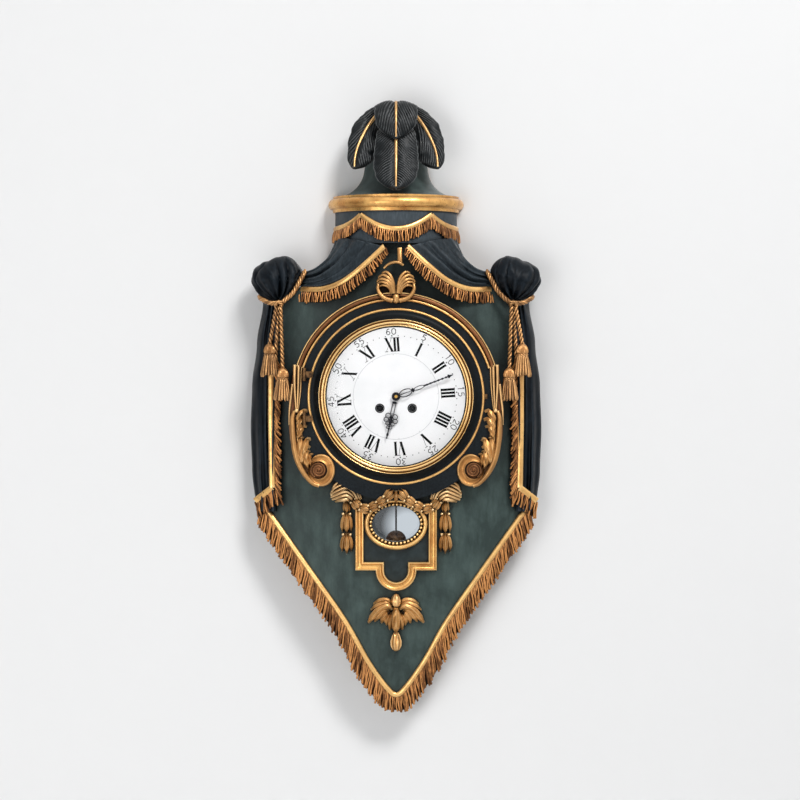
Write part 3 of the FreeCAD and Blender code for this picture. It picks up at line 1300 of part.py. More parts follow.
escape_phase = meshing(0.0, count("third_teeth"), count("escape_leaves"), angle_of(third_at, escape_at))
escape_r = size("escape_radius")
hooks = []
for tooth in range(count("escape_teeth")):
    first = 2 * math.pi * tooth / count("escape_teeth")
    hooks += [(escape_r * math.cos(first), escape_r * math.sin(first)),
              (0.8 * escape_r * math.cos(first + 0.05), 0.8 * escape_r * math.sin(first + 0.05)),
              (0.8 * escape_r * math.cos(first + 0.13), 0.8 * escape_r * math.sin(first + 0.13))]
slim = [(0.55, size("back_plate_out") - 0.5, back_in + 0.3), (0.6, back_in + 0.3, front_in - 0.3),
        (0.55, front_in - 0.3, front_face + 0.5)]
escape_wheel = fused(
    staff(slim), Part.makeCylinder(2.4, 3.0, Vector(0, 0, escape_out), OUTWARD),
    pinion(count("escape_leaves"), size("third_module"), escape_phase, third_out - 1, third_out + 2.5),
    prism(flat(hooks), escape_out, escape_out + wheel_thick))
carved("escape_wheel", moved(escape_wheel, escape_at.x, escape_at.y))

pin_phase = meshing(0.0, count("great_teeth"), count("second_leaves"), angle_of(strike_at, pin_at))
lift_pins = [Part.makeCylinder(0.6, 3.0, Vector(
    0.62 * size("pin_module") * count("pin_teeth") / 2 * math.cos(math.radians(36 * step + 12)),
    0.62 * size("pin_module") * count("pin_teeth") / 2 * math.sin(math.radians(36 * step + 12)),
    second_out), OUTWARD) for step in range(10)]
pin_wheel = fused(
    between_plates(),
    pinion(count("second_leaves"), size("great_module"), pin_phase, great_out - 1, drum_out + 1),
    prism(teeth_face(count("pin_teeth"), size("pin_module"), 0.0, 1.05, 1.35, 0.27, 0.10),
          second_out, second_out + wheel_thick), *lift_pins)
carved("pin_wheel", moved(pin_wheel, pin_at.x, pin_at.y))

fly_phase = meshing(0.0, count("pin_teeth"), count("fly_leaves"), angle_of(pin_at, fly_at))
slim_fly = [(0.55, size("back_plate_out") - 0.5, back_in + 0.3), (0.75, back_in + 0.3, front_in - 0.3),
            (0.55, front_in - 0.3, front_face + 0.5)]
vane = Part.makeBox(2 * size("fly_radius"), 0.8, 16.0, Vector(-size("fly_radius"), -0.4, back_in + 8.0))
fly = fused(staff(slim_fly), vane, pinion(count("fly_leaves"), size("pin_module"), fly_phase,
                                         second_out - 1, second_out + 2.5))
carved("fly", moved(fly, fly_at.x, fly_at.y))

# Motion work between the front plate and the dial.

motion_out = front_face + 3.0
hour_gear_out = motion_out + 2.6
cannon = fused(
    pinion(count("cannon_leaves"), size("motion_module"), 0.0, motion_out - 0.4, motion_out + 2.0),
    staff([(size("cannon_pipe"), motion_out - 1.0, minute_out + thin)]))
cannon = cannon.cut(
    Part.makeCylinder(size("centre_staff") + fit, 60, Vector(0, 0, motion_out - 5), OUTWARD))
carved("cannon_pinion", cannon)
minute_phase = meshing(0.0, count("cannon_leaves"), count("minute_teeth"), motion_turn)
minute_wheel = fused(
    prism(teeth_face(count("minute_teeth"), size("motion_module"), minute_phase, 0.85, 1.45, 0.17, 0.09),
          motion_out, motion_out + wheel_thick),
    pinion(count("minute_leaves"), hour_module, 0.0, motion_out + wheel_thick, hour_gear_out + 2.0))
minute_wheel = minute_wheel.cut(Part.makeCylinder(staff_r + fit, 40, Vector(0, 0, motion_out - 5), OUTWARD))
carved("minute_wheel", moved(minute_wheel, motion_at.x, motion_at.y))
hour_phase = meshing(0.0, count("minute_leaves"), count("hour_teeth"), motion_turn + math.pi)
hour_wheel = fused(
    prism(teeth_face(count("hour_teeth"), hour_module, hour_phase, 0.85, 1.45, 0.17, 0.09),
          hour_gear_out, hour_gear_out + wheel_thick),
    staff([(size("hour_pipe"), hour_gear_out, hour_out + thin)]))
hour_wheel = hour_wheel.cut(
    Part.makeCylinder(size("cannon_pipe") + fit, 60, Vector(0, 0, hour_gear_out - 5), OUTWARD))
carved("hour_wheel", hour_wheel)

# Plates and pillars.

hammer_at = Vector(size("hammer_x"), size("hammer_up"), 0)


def plate_blank(start):
    """Round movement plate."""
    return Part.makeCylinder(size("plate_radius"), size("plate_thick"), Vector(0, 0, start), OUTWARD)


def hole(spot, radius):
    """Hole through both plates."""
    return Part.makeCylinder(radius, 90, Vector(spot.x, spot.y, 0), OUTWARD)


pivots = [(spot, pivot_r + fit) for spot in (second_at, third_at, pin_at, hammer_at)]
pivots += [(spot, 0.55 + fit) for spot in (escape_at, fly_at)]
feet_at = [Vector(math.cos(math.radians(turn)), math.sin(math.radians(turn)), 0) * size("foot_circle")
           for turn in (45, 135, -62, -118)]
back_holes = pivots + [(centre_at, pivot_r + fit), (anchor_at, staff_r + fit)]
back_holes += [(spot, 2 * pivot_r + fit) for spot in (going_at, strike_at)]
front_holes = pivots + [(centre_at, size("centre_staff") + fit), (anchor_at, pivot_r + fit)]
front_holes += [(spot, bore) for spot in (going_at, strike_at)]
stud = Part.makeCylinder(staff_r, hour_gear_out + 2.6 - front_face,
                         Vector(motion_at.x, motion_at.y, front_face), OUTWARD)
carved("back_plate", plate_blank(size("back_plate_out")).cut([hole(*spec) for spec in back_holes]))
carved("front_plate", plate_blank(front_in).cut([hole(*spec) for spec in front_holes]).fuse(stud))
pillar = lathe_solid([
    (0.0, back_in), (size("foot_radius"), back_in), (size("foot_radius"), back_in + 3),
    (0.7 * size("foot_radius"), back_in + 6), (size("foot_radius"), (back_in + front_in) / 2),
    (0.7 * size("foot_radius"), front_in - 6), (size("foot_radius"), front_in - 3),
    (size("foot_radius"), front_in), (0.0, front_in)])
carved("plate_pillars", *[moved(pillar, spot.x, spot.y) for spot in feet_at])

# Anchor with its crutch, back cock, pendulum.

pend_out = size("pendulum_out")
pallet_r = escape_r + size("pallet_gap")
arm = []
for sign in (1, -1):
    face_at = escape_at + Vector(sign * pallet_r, pallet_r, 0) * math.sqrt(0.5)
    back_at = escape_at + Vector(sign * (pallet_r + 3.2), pallet_r + 3.2, 0) * math.sqrt(0.5)
    arm.append(prism(flat([(anchor_at.x, anchor_at.y - 1.5), (face_at.x, face_at.y + 0.2),
                           (face_at.x + sign * 0.5, face_at.y - 1.6),
                           (back_at.x + sign * 0.8, back_at.y - 0.8),
                           (back_at.x - sign * 2, back_at.y + 2.2),
                           (anchor_at.x, anchor_at.y + 2.5)]), escape_out - 0.5, escape_out + 2.0))
crutch_out = pend_out + 4.0
fork = anchor_at.y - size("crutch_length")
slot = size("pendulum_rod") + 0.4
crutch = Part.makeBox(3.0, size("crutch_length"), 1.6, Vector(-1.5, fork, crutch_out))
prongs = [Part.makeBox(1.6, 3.0, crutch_out + 1.6 - pend_out + 2.0, Vector(x, fork, pend_out - 2.0))
          for x in (slot, -slot - 1.6)]
bridge = Part.makeBox(2 * slot + 3.2, 3.0, 1.6, Vector(-slot - 1.6, fork, crutch_out))
anchor_staff = staff([(staff_r, crutch_out - 0.4, back_in + 0.3), (staff_r, back_in + 0.3, front_in - 0.3),
                      (pivot_r, front_in - 0.3, front_face + 0.5)])
anchor = fused(moved(anchor_staff, anchor_at.x, anchor_at.y), *arm, crutch, bridge, *prongs)
carved("anchor", anchor)

post_x = size("cock_half")
cock_low = anchor_at.y + 1.6
cock = Part.makeBox(2 * post_x, 6.0, 5.0, Vector(-post_x, cock_low, pend_out - 2.5))
for sign in (1, -1):
    foot = Part.makeBox(4.0, 6.0, size("back_plate_out") - pend_out + 2.5, Vector(
        sign * post_x - 2.0, cock_low - 3.0, pend_out - 2.5))
    cock = cock.fuse(foot)
carved("back_cock", cock.removeSplitter())

rod_top = anchor_at.y - 9
spring = Part.makeBox(3.0, anchor_at.y + 1.2 - rod_top, 0.4, Vector(-1.5, rod_top, pend_out - 0.2))
block = Part.makeBox(5.0, 5.0, 3.0, Vector(-2.5, rod_top - 4.0, pend_out - 1.5))
rod_end = size("bob_up") - size("bob_radius") - 12
rod = Part.makeCylinder(size("pendulum_rod"), rod_top - rod_end,
                        Vector(0, rod_end, pend_out), Vector(0, 1, 0))
nut = Part.makeCylinder(3.4, 3.0, Vector(0, rod_end + 8.5, pend_out), Vector(0, 1, 0))
carved("pendulum_rod", fused(rod, spring, block, nut))
bob_half = size("bob_thick") / 2
bob_face = Part.Face(Part.Wire([
    Part.Arc(Vector(0, 0, -bob_half), Vector(0.6 * size("bob_radius"), 0, -0.72 * bob_half),
             Vector(size("bob_radius"), 0, 0)).toShape(),
    Part.Arc(Vector(size("bob_radius"), 0, 0), Vector(0.6 * size("bob_radius"), 0, 0.72 * bob_half),
             Vector(0, 0, bob_half)).toShape(),
    Part.makeLine(Vector(0, 0, bob_half), Vector(0, 0, -bob_half))]))
lens = positive(bob_face.revolve(AXIS, OUTWARD, 360))
lens.translate(Vector(0, size("bob_up"), pend_out))
rod_hole = Part.makeCylinder(size("pendulum_rod"), 60,
                             Vector(0, size("bob_up") - 30, pend_out), Vector(0, 1, 0))
carved("pendulum_bob", lens.cut(rod_hole))

# Bell on its stand, and the hammer.

mouth = size("bell_radius")
tall = size("bell_height")
wall = size("bell_wall")
bell_at = Vector(size("bell_x"), size("bell_up"), size("bell_out"))
bell = lathe_solid([
    (mouth, 0.0), (mouth - 1.5, 0.2 * tall), (mouth - 3.0, 0.6 * tall),
    (0.62 * mouth, 0.92 * tall), (2.0, tall),
    (2.0, tall - wall), (0.6 * mouth, 0.9 * tall - wall), (mouth - 3.0 - wall, 0.6 * tall - wall),
    (mouth - 1.5 - wall, 0.2 * tall), (mouth - wall, 0.0)], bell_at, Vector(0, 1, 0))
stand_top = bell_at.y + tall
strip_out = size("back_plate_out") - 3.0
strip_low = size("plate_radius") * 0.7
bell_stand = fused(
    Part.makeBox(8.0, stand_top + 3.0 - strip_low, 3.0, Vector(bell_at.x - 4.0, strip_low, strip_out)),
    Part.makeBox(8.0, 3.0, bell_at.z + 4.0 - strip_out, Vector(bell_at.x - 4.0, stand_top, strip_out)),
    Part.makeCylinder(2.0, 6.0, Vector(bell_at.x, stand_top - 4.0, bell_at.z), Vector(0, 1, 0)))
carved("bell", bell, bell_stand)

head_x = bell_at.x + mouth + size("hammer_gap")
head_up = bell_at.y + 2.5
head = Part.makeCylinder(3.2, 8.0, Vector(head_x, head_up, bell_at.z), Vector(1, 0, 0))
shank = Part.makeCylinder(1.1, (Vector(head_x + 4, head_up, 0) - hammer_at).Length,
                          Vector(hammer_at.x, hammer_at.y, bell_at.z),
                          Vector(head_x + 4, head_up, 0) - hammer_at)
hammer_staff = moved(between_plates(), hammer_at.x, hammer_at.y)
hammer_boss = Part.makeCylinder(2.6, 5.0, Vector(hammer_at.x, hammer_at.y, bell_at.z - 2.5), OUTWARD)
carved("hammer", fused(hammer_staff, hammer_boss, shank, head))

# Check every piece, then write it.

doc.recompute()
os.makedirs("parts", exist_ok=True)
for piece in pieces:
    state = " ".join(piece.State)
    if "Invalid" in state or "Error" in state or piece.Shape.isNull() or not piece.Shape.isValid():
        raise RuntimeError(f"{piece.Label} did not build: {state}")
    if not piece.Shape.Solids:
        raise RuntimeError(f"{piece.Label} has no solid")
    piece.Shape.exportStep(f"parts/{piece.Label}.step")
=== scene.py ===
"""Looks of a draped cartel clock: carved cloth, feathers, fringes, leaves and dial marks."""

import logging
import random
from dataclasses import dataclass, field, replace
from enum import Enum
from math import asin, atan2, cos, degrees, exp, hypot, pi, radians, sin, sqrt, tau
from typing import Callable, Sequence

import bmesh
import bpy
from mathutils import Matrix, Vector, noise


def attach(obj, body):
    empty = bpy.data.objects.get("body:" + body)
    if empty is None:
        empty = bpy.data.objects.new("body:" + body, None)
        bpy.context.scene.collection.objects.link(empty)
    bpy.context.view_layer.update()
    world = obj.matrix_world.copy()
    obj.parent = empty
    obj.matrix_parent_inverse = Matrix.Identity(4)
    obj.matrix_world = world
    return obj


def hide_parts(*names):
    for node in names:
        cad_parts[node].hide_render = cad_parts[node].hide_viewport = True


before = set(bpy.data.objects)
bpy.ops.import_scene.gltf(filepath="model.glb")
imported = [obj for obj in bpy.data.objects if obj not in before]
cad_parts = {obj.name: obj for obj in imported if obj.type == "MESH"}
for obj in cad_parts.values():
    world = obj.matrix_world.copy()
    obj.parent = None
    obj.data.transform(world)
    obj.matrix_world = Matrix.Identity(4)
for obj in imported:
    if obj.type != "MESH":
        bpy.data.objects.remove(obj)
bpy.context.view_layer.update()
log = logging.getLogger("cartel_clock")

# Shapes are drawn in the clock's own millimetres: x to the right, up from the dial centre and
# out from the wall. The row frame has its origin at the hanger hole, HOOK_RISE above the dial centre.
MM = 0.001
HOOK_RISE = 245.0
OUT = Vector((0.0, 0.0, 1.0))
UP = Vector((0.0, 1.0, 0.0))
ACROSS = Vector((1.0, 0.0, 0.0))
# The front panel bows across and, more gently, from top to bottom. It stands farthest out at the dial centre.
BOW_RADIUS = 560.0
BELLY_RADIUS = 2745.0
BELLY_OUT = 78.0
# The tip of a turned shape keeps a little width, so that its faces don't close to a point.
LEAST_RADIUS = 0.02
# Straight steps that stand for the bend of a smooth line between two stops.
SPAN_STEPS = 20

# Pairs are sizes or offsets, places are x, up and out.
Ring = list[Vector]
Pair = tuple[float, float]
Place = tuple[float, float, float]
Sizes = tuple[float, ...]
Section = Sequence[Pair]
Stops = Sequence[Place]
Tree = bpy.types.NodeTree
Node = bpy.types.Node


class Slot(Enum):
    """Material slots of the record."""

    GREEN_PAINT = "green_painted_wood"
    NAVY_PAINT = "navy_painted_wood"
    GILT_WOOD = "gilt_wood"
    BLACK_PAINT = "black_painted_wood"
    PINE = "bare_pine"
    IRON = "wrought_iron"
    GILT_BRASS = "gilt_brass"
    GLASS = "clear_glass"
    ENAMEL = "white_enamel"
    BLACK_STEEL = "blackened_steel"
    BRASS = "clock_brass"
    STEEL = "polished_steel"
    BELL_METAL = "bell_metal"


class Side(Enum):
    """Side of the clock, by the sign of x."""

    LEFT = -1
    RIGHT = 1


class Crease(Enum):
    """Degrees above which an edge of a surface stays sharp."""

    FEATHER = 80.0
    CLOTH = 75.0
    LEAF = 70.0
    REED = 60.0
    PLAIN = 55.0
    MOULDED = 50.0
    TURNED = 40.0
    SOLID = 35.0


def linear(colour: str) -> tuple[float, float, float, float]:
    """Turn an sRGB hex value into a linear colour.

    Args:
        colour: Hex value such as "#c89a4a".

    Returns:
        Red, green, blue and alpha for a shader socket.
    """
    shares = [int(colour[start:start + 2], 16) / 255 for start in (1, 3, 5)]
    bent = [s / 12.92 if s <= 0.04045 else ((s + 0.055) / 1.055) ** 2.4 for s in shares]
    return (bent[0], bent[1], bent[2], 1.0)


def per_metre(size_mm: float) -> float:
    """Pattern scale at which one feature of a noise measures size_mm."""
    return 1000.0 / size_mm


def add_node(tree: Tree, kind: str, feeds: dict | None = None, **settings: object) -> Node:
    """Add a shader node with its settings and links.

    Args:
        tree: Node tree of the material or world.
        kind: Blender's name of the node type, without the word ShaderNode.
        feeds: Input name or number to a value, or to the socket or node that feeds it. A node feeds from the
            first of its outputs that is in use.
        settings: Attributes of the node.

    Returns:
        The new node.
    """
    node = tree.nodes.new(f"ShaderNode{kind}")
    for name, value in settings.items():
        setattr(node, name, value)
    for name, value in (feeds or {}).items():
        if isinstance(value, Node):
            value = next(socket for socket in value.outputs if socket.enabled)
        if isinstance(value, bpy.types.NodeSocket):
            tree.links.new(value, node.inputs[name])
        else:
            node.inputs[name].default_value = value
    return node


# Early and late wood of pine darkened by age.
EARLY_PINE = "#a57c4c"
LATE_PINE = "#70491f"


def pine_rings(tree: Tree, ring_mm: float = 7.0) -> Node:
    """Growth rings of pine, drawn out along the upright boards.

    Args:
        tree: Node tree of the material.
        ring_mm: Width of a ring, drawn a little coarser than the real 2 to 4 mm so that it shows.

    Returns:
        Node whose value is low in early wood and high in late wood.
    """
    place = add_node(tree, "TexCoord").outputs["Object"]
    drawn = add_node(tree, "Mapping", {"Vector": place, "Scale": (1.0, 1.0, 0.05)})
    rings = add_node(tree, "TexNoise", {
        "Vector": drawn, "Scale": per_metre(ring_mm), "Detail": 4.0, "Distortion": 0.8})
    return add_node(tree, "MapRange", {"Value": rings, "From Min": 0.35, "From Max": 0.68})


def bare_back(tree: Tree, colour: Node) -> Node:
    """Let bare pine show on faces that lie against the wall, where no coat was laid.

    Args:
        tree: Node tree of the material.
        colour: Node with the colour of the coat.

    Returns:
        Node with the coat's colour, and pine on the back.
    """
    normal = add_node(tree, "NewGeometry").outputs["True Normal"]
    facing = add_node(tree, "SeparateXYZ", {0: normal})
    back = add_node(tree, "MapRange", {"Value": facing.outputs["Y"], "From Min": 0.8, "From Max": 0.9})
    pine = add_node(tree, "Mix", {
        0: pine_rings(tree), 6: linear(EARLY_PINE), 7: linear(LATE_PINE)}, data_type="RGBA")
    return add_node(tree, "Mix", {0: back, 6: colour, 7: pine}, data_type="RGBA")


def glass_waves(tree: Tree, wave_mm: float = 40.0) -> Node:
    """Slow swell of blown glass.

    Args:
        tree: Node tree of the material.
        wave_mm: Width of a wave.

    Returns:
        Node with the bent normal.
    """
    place = add_node(tree, "TexCoord").outputs["Object"]
    swell = add_node(tree, "TexNoise", {"Vector": place, "Scale": per_metre(wave_mm), "Detail": 1.0})
    return add_node(tree, "Bump", {"Height": swell, "Strength": 0.05, "Distance": 0.4 * MM})


@dataclass(frozen=True)
class Finish:
    """A surface of the clock: its material and how it was worked."""

    name: str
    slot: Slot

    def material(self) -> bpy.types.Material:
        """Find the Blender material of this finish, or make it at its first use.

        Returns:
            The material.
        """
        made = bpy.data.materials.get(self.name)
        if made is None:
            made = bpy.data.materials.new(self.name)
            made.use_nodes = True
            tree = made.node_tree
            tree.nodes.clear()
            add_node(tree, "OutputMaterial", {"Surface": self.shade(tree)})
        return made

    def shade(self, tree: Tree) -> Node:
        """Lay the shader of the finish.

        Args:
            tree: Empty node tree of the material.

        Returns:
            The shader.
        """
        raise NotImplementedError


@dataclass(frozen=True)
class GoldLeaf(Finish):
    """Gold leaf over red bole: painted highlight on the ridges, patchy flats, deep brown painted shade and
    dirt in the hollows.
    """

    leaf: str
    toned: str
    bole: str
    # Colour laid in the hollows by ambient occlusion: painted shade, with dirt.
    grime: str
    roughness: float = 0.34
    patch_mm: float = 26.0
    fleck_mm: float = 2.6
    hollow_mm: float = 6.0
    # The next two fields paint a highlight on the ridges: its pale colour, and how much of it is laid.
    crown: str = "#ffe2b4"
    polish: float = 0.75
    strand_tones: float = 0.0
    bare: bool = False
    metallic: float = 0.75

    def shade(self, tree: Tree) -> Node:
        """Lay toned patches, rubbed bole, painted highlight on the ridges and painted shade with dirt in the
        hollows.

        Args:
            tree: Empty node tree of the material.

        Returns:
            The shader.
        """
        place = add_node(tree, "TexCoord").outputs["Object"]
        form = add_node(tree, "NewGeometry")
        patches = add_node(tree, "TexNoise", {
            "Vector": place, "Scale": per_metre(self.patch_mm), "Detail": 5.0, "Roughness": 0.62})
        flecks = add_node(tree, "TexNoise", {
            "Vector": place, "Scale": per_metre(self.fleck_mm), "Detail": 3.0, "Roughness": 0.6})
        strand = add_node(tree, "Math", {
            0: form.outputs["Random Per Island"], 1: self.strand_tones, 2: patches}, operation="MULTIPLY_ADD")
        mean = self.strand_tones / 2
        tone = add_node(tree, "MapRange", {"Value": strand, "From Min": 0.4 + mean, "From Max": 0.66 + mean})
        rubbed = add_node(tree, "MapRange", {
            "Value": flecks, "From Min": 0.56, "From Max": 0.74, "To Max": 0.55})
        # Painted highlight: the crown colour laid on the ridges.
        ridge = add_node(tree, "MapRange", {
            "Value": form.outputs["Pointiness"], "From Min": 0.51, "From Max": 0.6, "To Max": self.polish})
        # Painted shade with dirt: darkens the hollows where nearby shapes close in.
        shut = add_node(tree, "AmbientOcclusion", {"Distance": self.hollow_mm * MM}, samples=6)
        hollow = add_node(tree, "MapRange", {
            "Value": shut.outputs["AO"], "From Min": 0.32, "From Max": 0.8, "To Min": 1.0, "To Max": 0.0})
        layers = ((tone, self.toned), (rubbed, self.bole), (ridge, self.crown), (hollow, self.grime))
        colour = linear(self.leaf)
        for share, over in layers:
            colour = add_node(tree, "Mix", {0: share, 6: colour, 7: linear(over)}, data_type="RGBA")
        if self.bare:
            colour = bare_back(tree, colour)
        gloss = add_node(tree, "MapRange", {
            "Value": flecks, "From Min": 0.3, "From Max": 0.7,
            "To Min": self.roughness - 0.06, "To Max": self.roughness + 0.14})
        dents = add_node(tree, "Bump", {"Height": flecks, "Strength": 0.35, "Distance": 0.5 * MM})
        return add_node(tree, "BsdfPrincipled", {
            "Base Color": colour, "Metallic": self.metallic, "Roughness": gloss, "Normal": dents})


@dataclass(frozen=True)
class WornPaint(Finish):
    """Old oil paint on carved pine: clouded, pale on the ridges where rubbed and by painted highlight,
    painted shade in the folds.
    """

    coat: str
    second: str
    # Colour of the pale ridges, rubbed paint and painted highlight, on the feathers mostly highlight. The
    # next colour is painted shade.
    rubbed: str
    shade_tone: str
    roughness: float = 0.5
    patch_mm: float = 60.0
    brush_mm: float = 3.2
    drawn: float = 1.0
    # How much the ridges pale: rubbed paint, and painted highlight.
    wear: float = 0.5
    hollow_mm: float = 9.0
    gleam: float = 0.3
    bare: bool = False

    def shade(self, tree: Tree) -> Node:
        """Lay a clouded second coat, ridges paled by rubbing and painted highlight, and painted shade in the
        folds.

        Args:
            tree: Empty node tree of the material.

        Returns:
            The shader.
        """
        place = add_node(tree, "TexCoord").outputs["Object"]
        drawn = add_node(tree, "Mapping", {"Vector": place, "Scale": (1.0, 1.0, self.drawn)})
        patches = add_node(tree, "TexNoise", {
            "Vector": place, "Scale": per_metre(self.patch_mm), "Detail": 6.0, "Roughness": 0.66,
            "Distortion": 0.6})
        brush = add_node(tree, "TexNoise", {
            "Vector": drawn, "Scale": per_metre(self.brush_mm), "Detail": 4.0, "Roughness": 0.6})
        mottle = add_node(tree, "Math", {0: patches, 1: brush}, operation="ADD")
        cloud = add_node(tree, "MapRange", {"Value": mottle, "From Min": 0.84, "From Max": 1.26})
        # Pale ridges: rubbed paint and painted highlight.
        ridge = add_node(tree, "MapRange", {
            "Value": add_node(tree, "NewGeometry").outputs["Pointiness"],
            "From Min": 0.505, "From Max": 0.57, "To Max": self.wear})
        thinned = add_node(tree, "Math", {0: ridge, 1: brush}, operation="MULTIPLY")
        # Painted shade: darkens the folds and hollows where nearby shapes close in.
        shut = add_node(tree, "AmbientOcclusion", {"Distance": self.hollow_mm * MM}, samples=6)
        hollow = add_node(tree, "MapRange", {
            "Value": shut.outputs["AO"], "From Min": 0.25, "From Max": 0.85, "To Min": 0.95, "To Max": 0.0})
        colour = linear(self.coat)
        for share, over in ((cloud, self.second), (thinned, self.rubbed), (hollow, self.shade_tone)):
            colour = add_node(tree, "Mix", {0: share, 6: colour, 7: linear(over)}, data_type="RGBA")
        if self.bare:
            colour = bare_back(tree, colour)
        gloss = add_node(tree, "MapRange", {
            "Value": patches, "From Min": 0.3, "From Max": 0.7,
            "To Min": self.roughness - 0.08, "To Max": self.roughness + 0.12})
        skin = add_node(tree, "Bump", {"Height": brush, "Strength": 0.25, "Distance": 0.5 * MM})
        return add_node(tree, "BsdfPrincipled", {
            "Base Color": colour, "Roughness": gloss, "Specular IOR Level": self.gleam, "Normal": skin})


@dataclass(frozen=True)
class WorkedMetal(Finish):
    """Grained or turned metal: fine lines in its gloss, and tarnish in soft patches."""

    bright: str
    tarnish: str
    roughness: float
    metallic: float = 1.0
    grain_mm: float = 1.4
    patch_mm: float = 14.0

    def shade(self, tree: Tree) -> Node:
        """Lay tarnish over bright metal and draw the grain.

        Args:
            tree: Empty node tree of the material.

        Returns:
            The shader.
        """
        place = add_node(tree, "TexCoord").outputs["Object"]
        drawn = add_node(tree, "Mapping", {"Vector": place, "Scale": (0.12, 1.0, 1.0)})
        grain = add_node(tree, "TexNoise", {
            "Vector": drawn, "Scale": per_metre(self.grain_mm), "Detail": 3.0})
        patches = add_node(tree, "TexNoise", {
            "Vector": place, "Scale": per_metre(self.patch_mm), "Detail": 5.0})
        dull = add_node(tree, "MapRange", {"Value": patches, "From Min": 0.42, "From Max": 0.7})
        colour = add_node(tree, "Mix", {
            0: dull, 6: linear(self.bright), 7: linear(self.tarnish)}, data_type="RGBA")
        gloss = add_node(tree, "MapRange", {
            "Value": grain, "From Min": 0.3, "From Max": 0.7,
            "To Min": self.roughness - 0.05, "To Max": self.roughness + 0.1})
        lines = add_node(tree, "Bump", {"Height": grain, "Strength": 0.12, "Distance": 0.3 * MM})
        return add_node(tree, "BsdfPrincipled", {
            "Base Color": colour, "Metallic": self.metallic, "Roughness": gloss, "Normal": lines})


@dataclass(frozen=True)
class FiredEnamel(Finish):
    """Glass enamel fired on copper: clean and glossy, with a faint cloudiness and a few pits."""

    colour: str
    cloud: str
    roughness: float = 0.12
    gleam: float = 0.3
    cloud_mm: float = 34.0
    pit_mm: float = 1.8

    def shade(self, tree: Tree) -> Node:
        """Lay the cloudy enamel.

        Args:
            tree: Empty node tree of the material.

        Returns:
            The shader.
        """
        place = add_node(tree, "TexCoord").outputs["Object"]
        mist = add_node(tree, "TexNoise", {"Vector": place, "Scale": per_metre(self.cloud_mm), "Detail": 4.0})
        pits = add_node(tree, "TexNoise", {"Vector": place, "Scale": per_metre(self.pit_mm), "Detail": 2.0})
        haze = add_node(tree, "MapRange", {"Value": mist, "From Min": 0.4, "From Max": 0.75})
        colour = add_node(tree, "Mix", {
            0: haze, 6: linear(self.colour), 7: linear(self.cloud)}, data_type="RGBA")
        skin = add_node(tree, "Bump", {"Height": pits, "Strength": 0.04, "Distance": 0.2 * MM})
        return add_node(tree, "BsdfPrincipled", {
            "Base Color": colour, "Roughness": self.roughness, "Specular IOR Level": self.gleam,
            "Normal": skin})


@dataclass(frozen=True)
class ClearGlass(Finish):
    """Blown crown glass: clear, a little wavy, and it lets the lamps through."""

    tint: str

    def shade(self, tree: Tree) -> Node:
        """Lay glass for sight and a clear pane for shadows.

        Args:
            tree: Empty node tree of the material.

        Returns:
            The shader.
        """
        glass = add_node(tree, "BsdfPrincipled", {
            "Base Color": linear(self.tint), "Roughness": 0.0, "IOR": 1.5, "Specular IOR Level": 0.04,
            "Transmission Weight": 1.0, "Normal": glass_waves(tree)})
        pane = add_node(tree, "BsdfTransparent", {"Color": linear(self.tint)})
        shadow = add_node(tree, "LightPath").outputs["Is Shadow Ray"]
        return add_node(tree, "MixShader", {0: shadow, 1: glass, 2: pane})


@dataclass(frozen=True)
class ThinPane(Finish):
    """Thin convex dial glass: clear from the front, with a sheen that grows towards its rim."""

    sheen: float

    def shade(self, tree: Tree) -> Node:
        """Lay a faint mirror over a clear pane.

        Args:
            tree: Empty node tree of the material.

        Returns:
            The shader.
        """
        grazing = add_node(tree, "Fresnel", {"IOR": 1.5})
        share = add_node(tree, "Math", {0: grazing, 1: self.sheen}, operation="MULTIPLY")
        mirror = add_node(tree, "BsdfGlossy", {"Roughness": 0.02, "Normal": glass_waves(tree)})
        clear = add_node(tree, "BsdfTransparent")
        return add_node(tree, "MixShader", {0: share, 1: clear, 2: mirror})


@dataclass(frozen=True)
class SawnPine(Finish):
    """Bare pine darkened by age: growth rings drawn out along the boards."""

    early: str
    late: str

    def shade(self, tree: Tree) -> Node:
        """Lay the growth rings.

        Args:
            tree: Empty node tree of the material.

        Returns:
            The shader.
        """
        rings = pine_rings(tree)
        colour = add_node(tree, "Mix", {
            0: rings, 6: linear(self.early), 7: linear(self.late)}, data_type="RGBA")
        saw = add_node(tree, "Bump", {"Height": rings, "Strength": 0.15, "Distance": 0.6 * MM})
        return add_node(tree, "BsdfPrincipled", {"Base Color": colour, "Roughness": 0.7, "Normal": saw})


# Gold leaf. The mouldings are water gilt and burnished, so they glint. The carved leaves are toned. All of it
# has a painted highlight on its ridges and painted shade, with dirt, in its hollows. The fringes are oil
# gilt:
# duller, and no two strands have the same tone.
BRIGHT_GILDING = GoldLeaf("burnished_gold_leaf", Slot.GILT_WOOD, "#e3b068", "#bb8143", "#94602c", "#2c1603",
                          0.3, fleck_mm=6.0, crown="#ffd896")
CORNICE_GILDING = replace(BRIGHT_GILDING, name="burnished_cornice_leaf", bare=True)
CARVED_GILDING = GoldLeaf("toned_gold_leaf", Slot.GILT_WOOD, "#d39d5e", "#98652f", "#6c3a12", "#1c0b00",
                          0.33, hollow_mm=8.0, crown="#fbd69c", polish=0.85)
VOLUTE_GILDING = GoldLeaf("brown_toned_gold_leaf", Slot.GILT_WOOD, "#b07c43", "#7d4f25", "#5a3212", "#1c0b00",
                          0.34, hollow_mm=8.0, crown="#f0c384", polish=0.65)
GARLAND_GILDING = replace(CARVED_GILDING, name="deep_toned_gold_leaf", hollow_mm=9.0, crown="#ffe2ae")
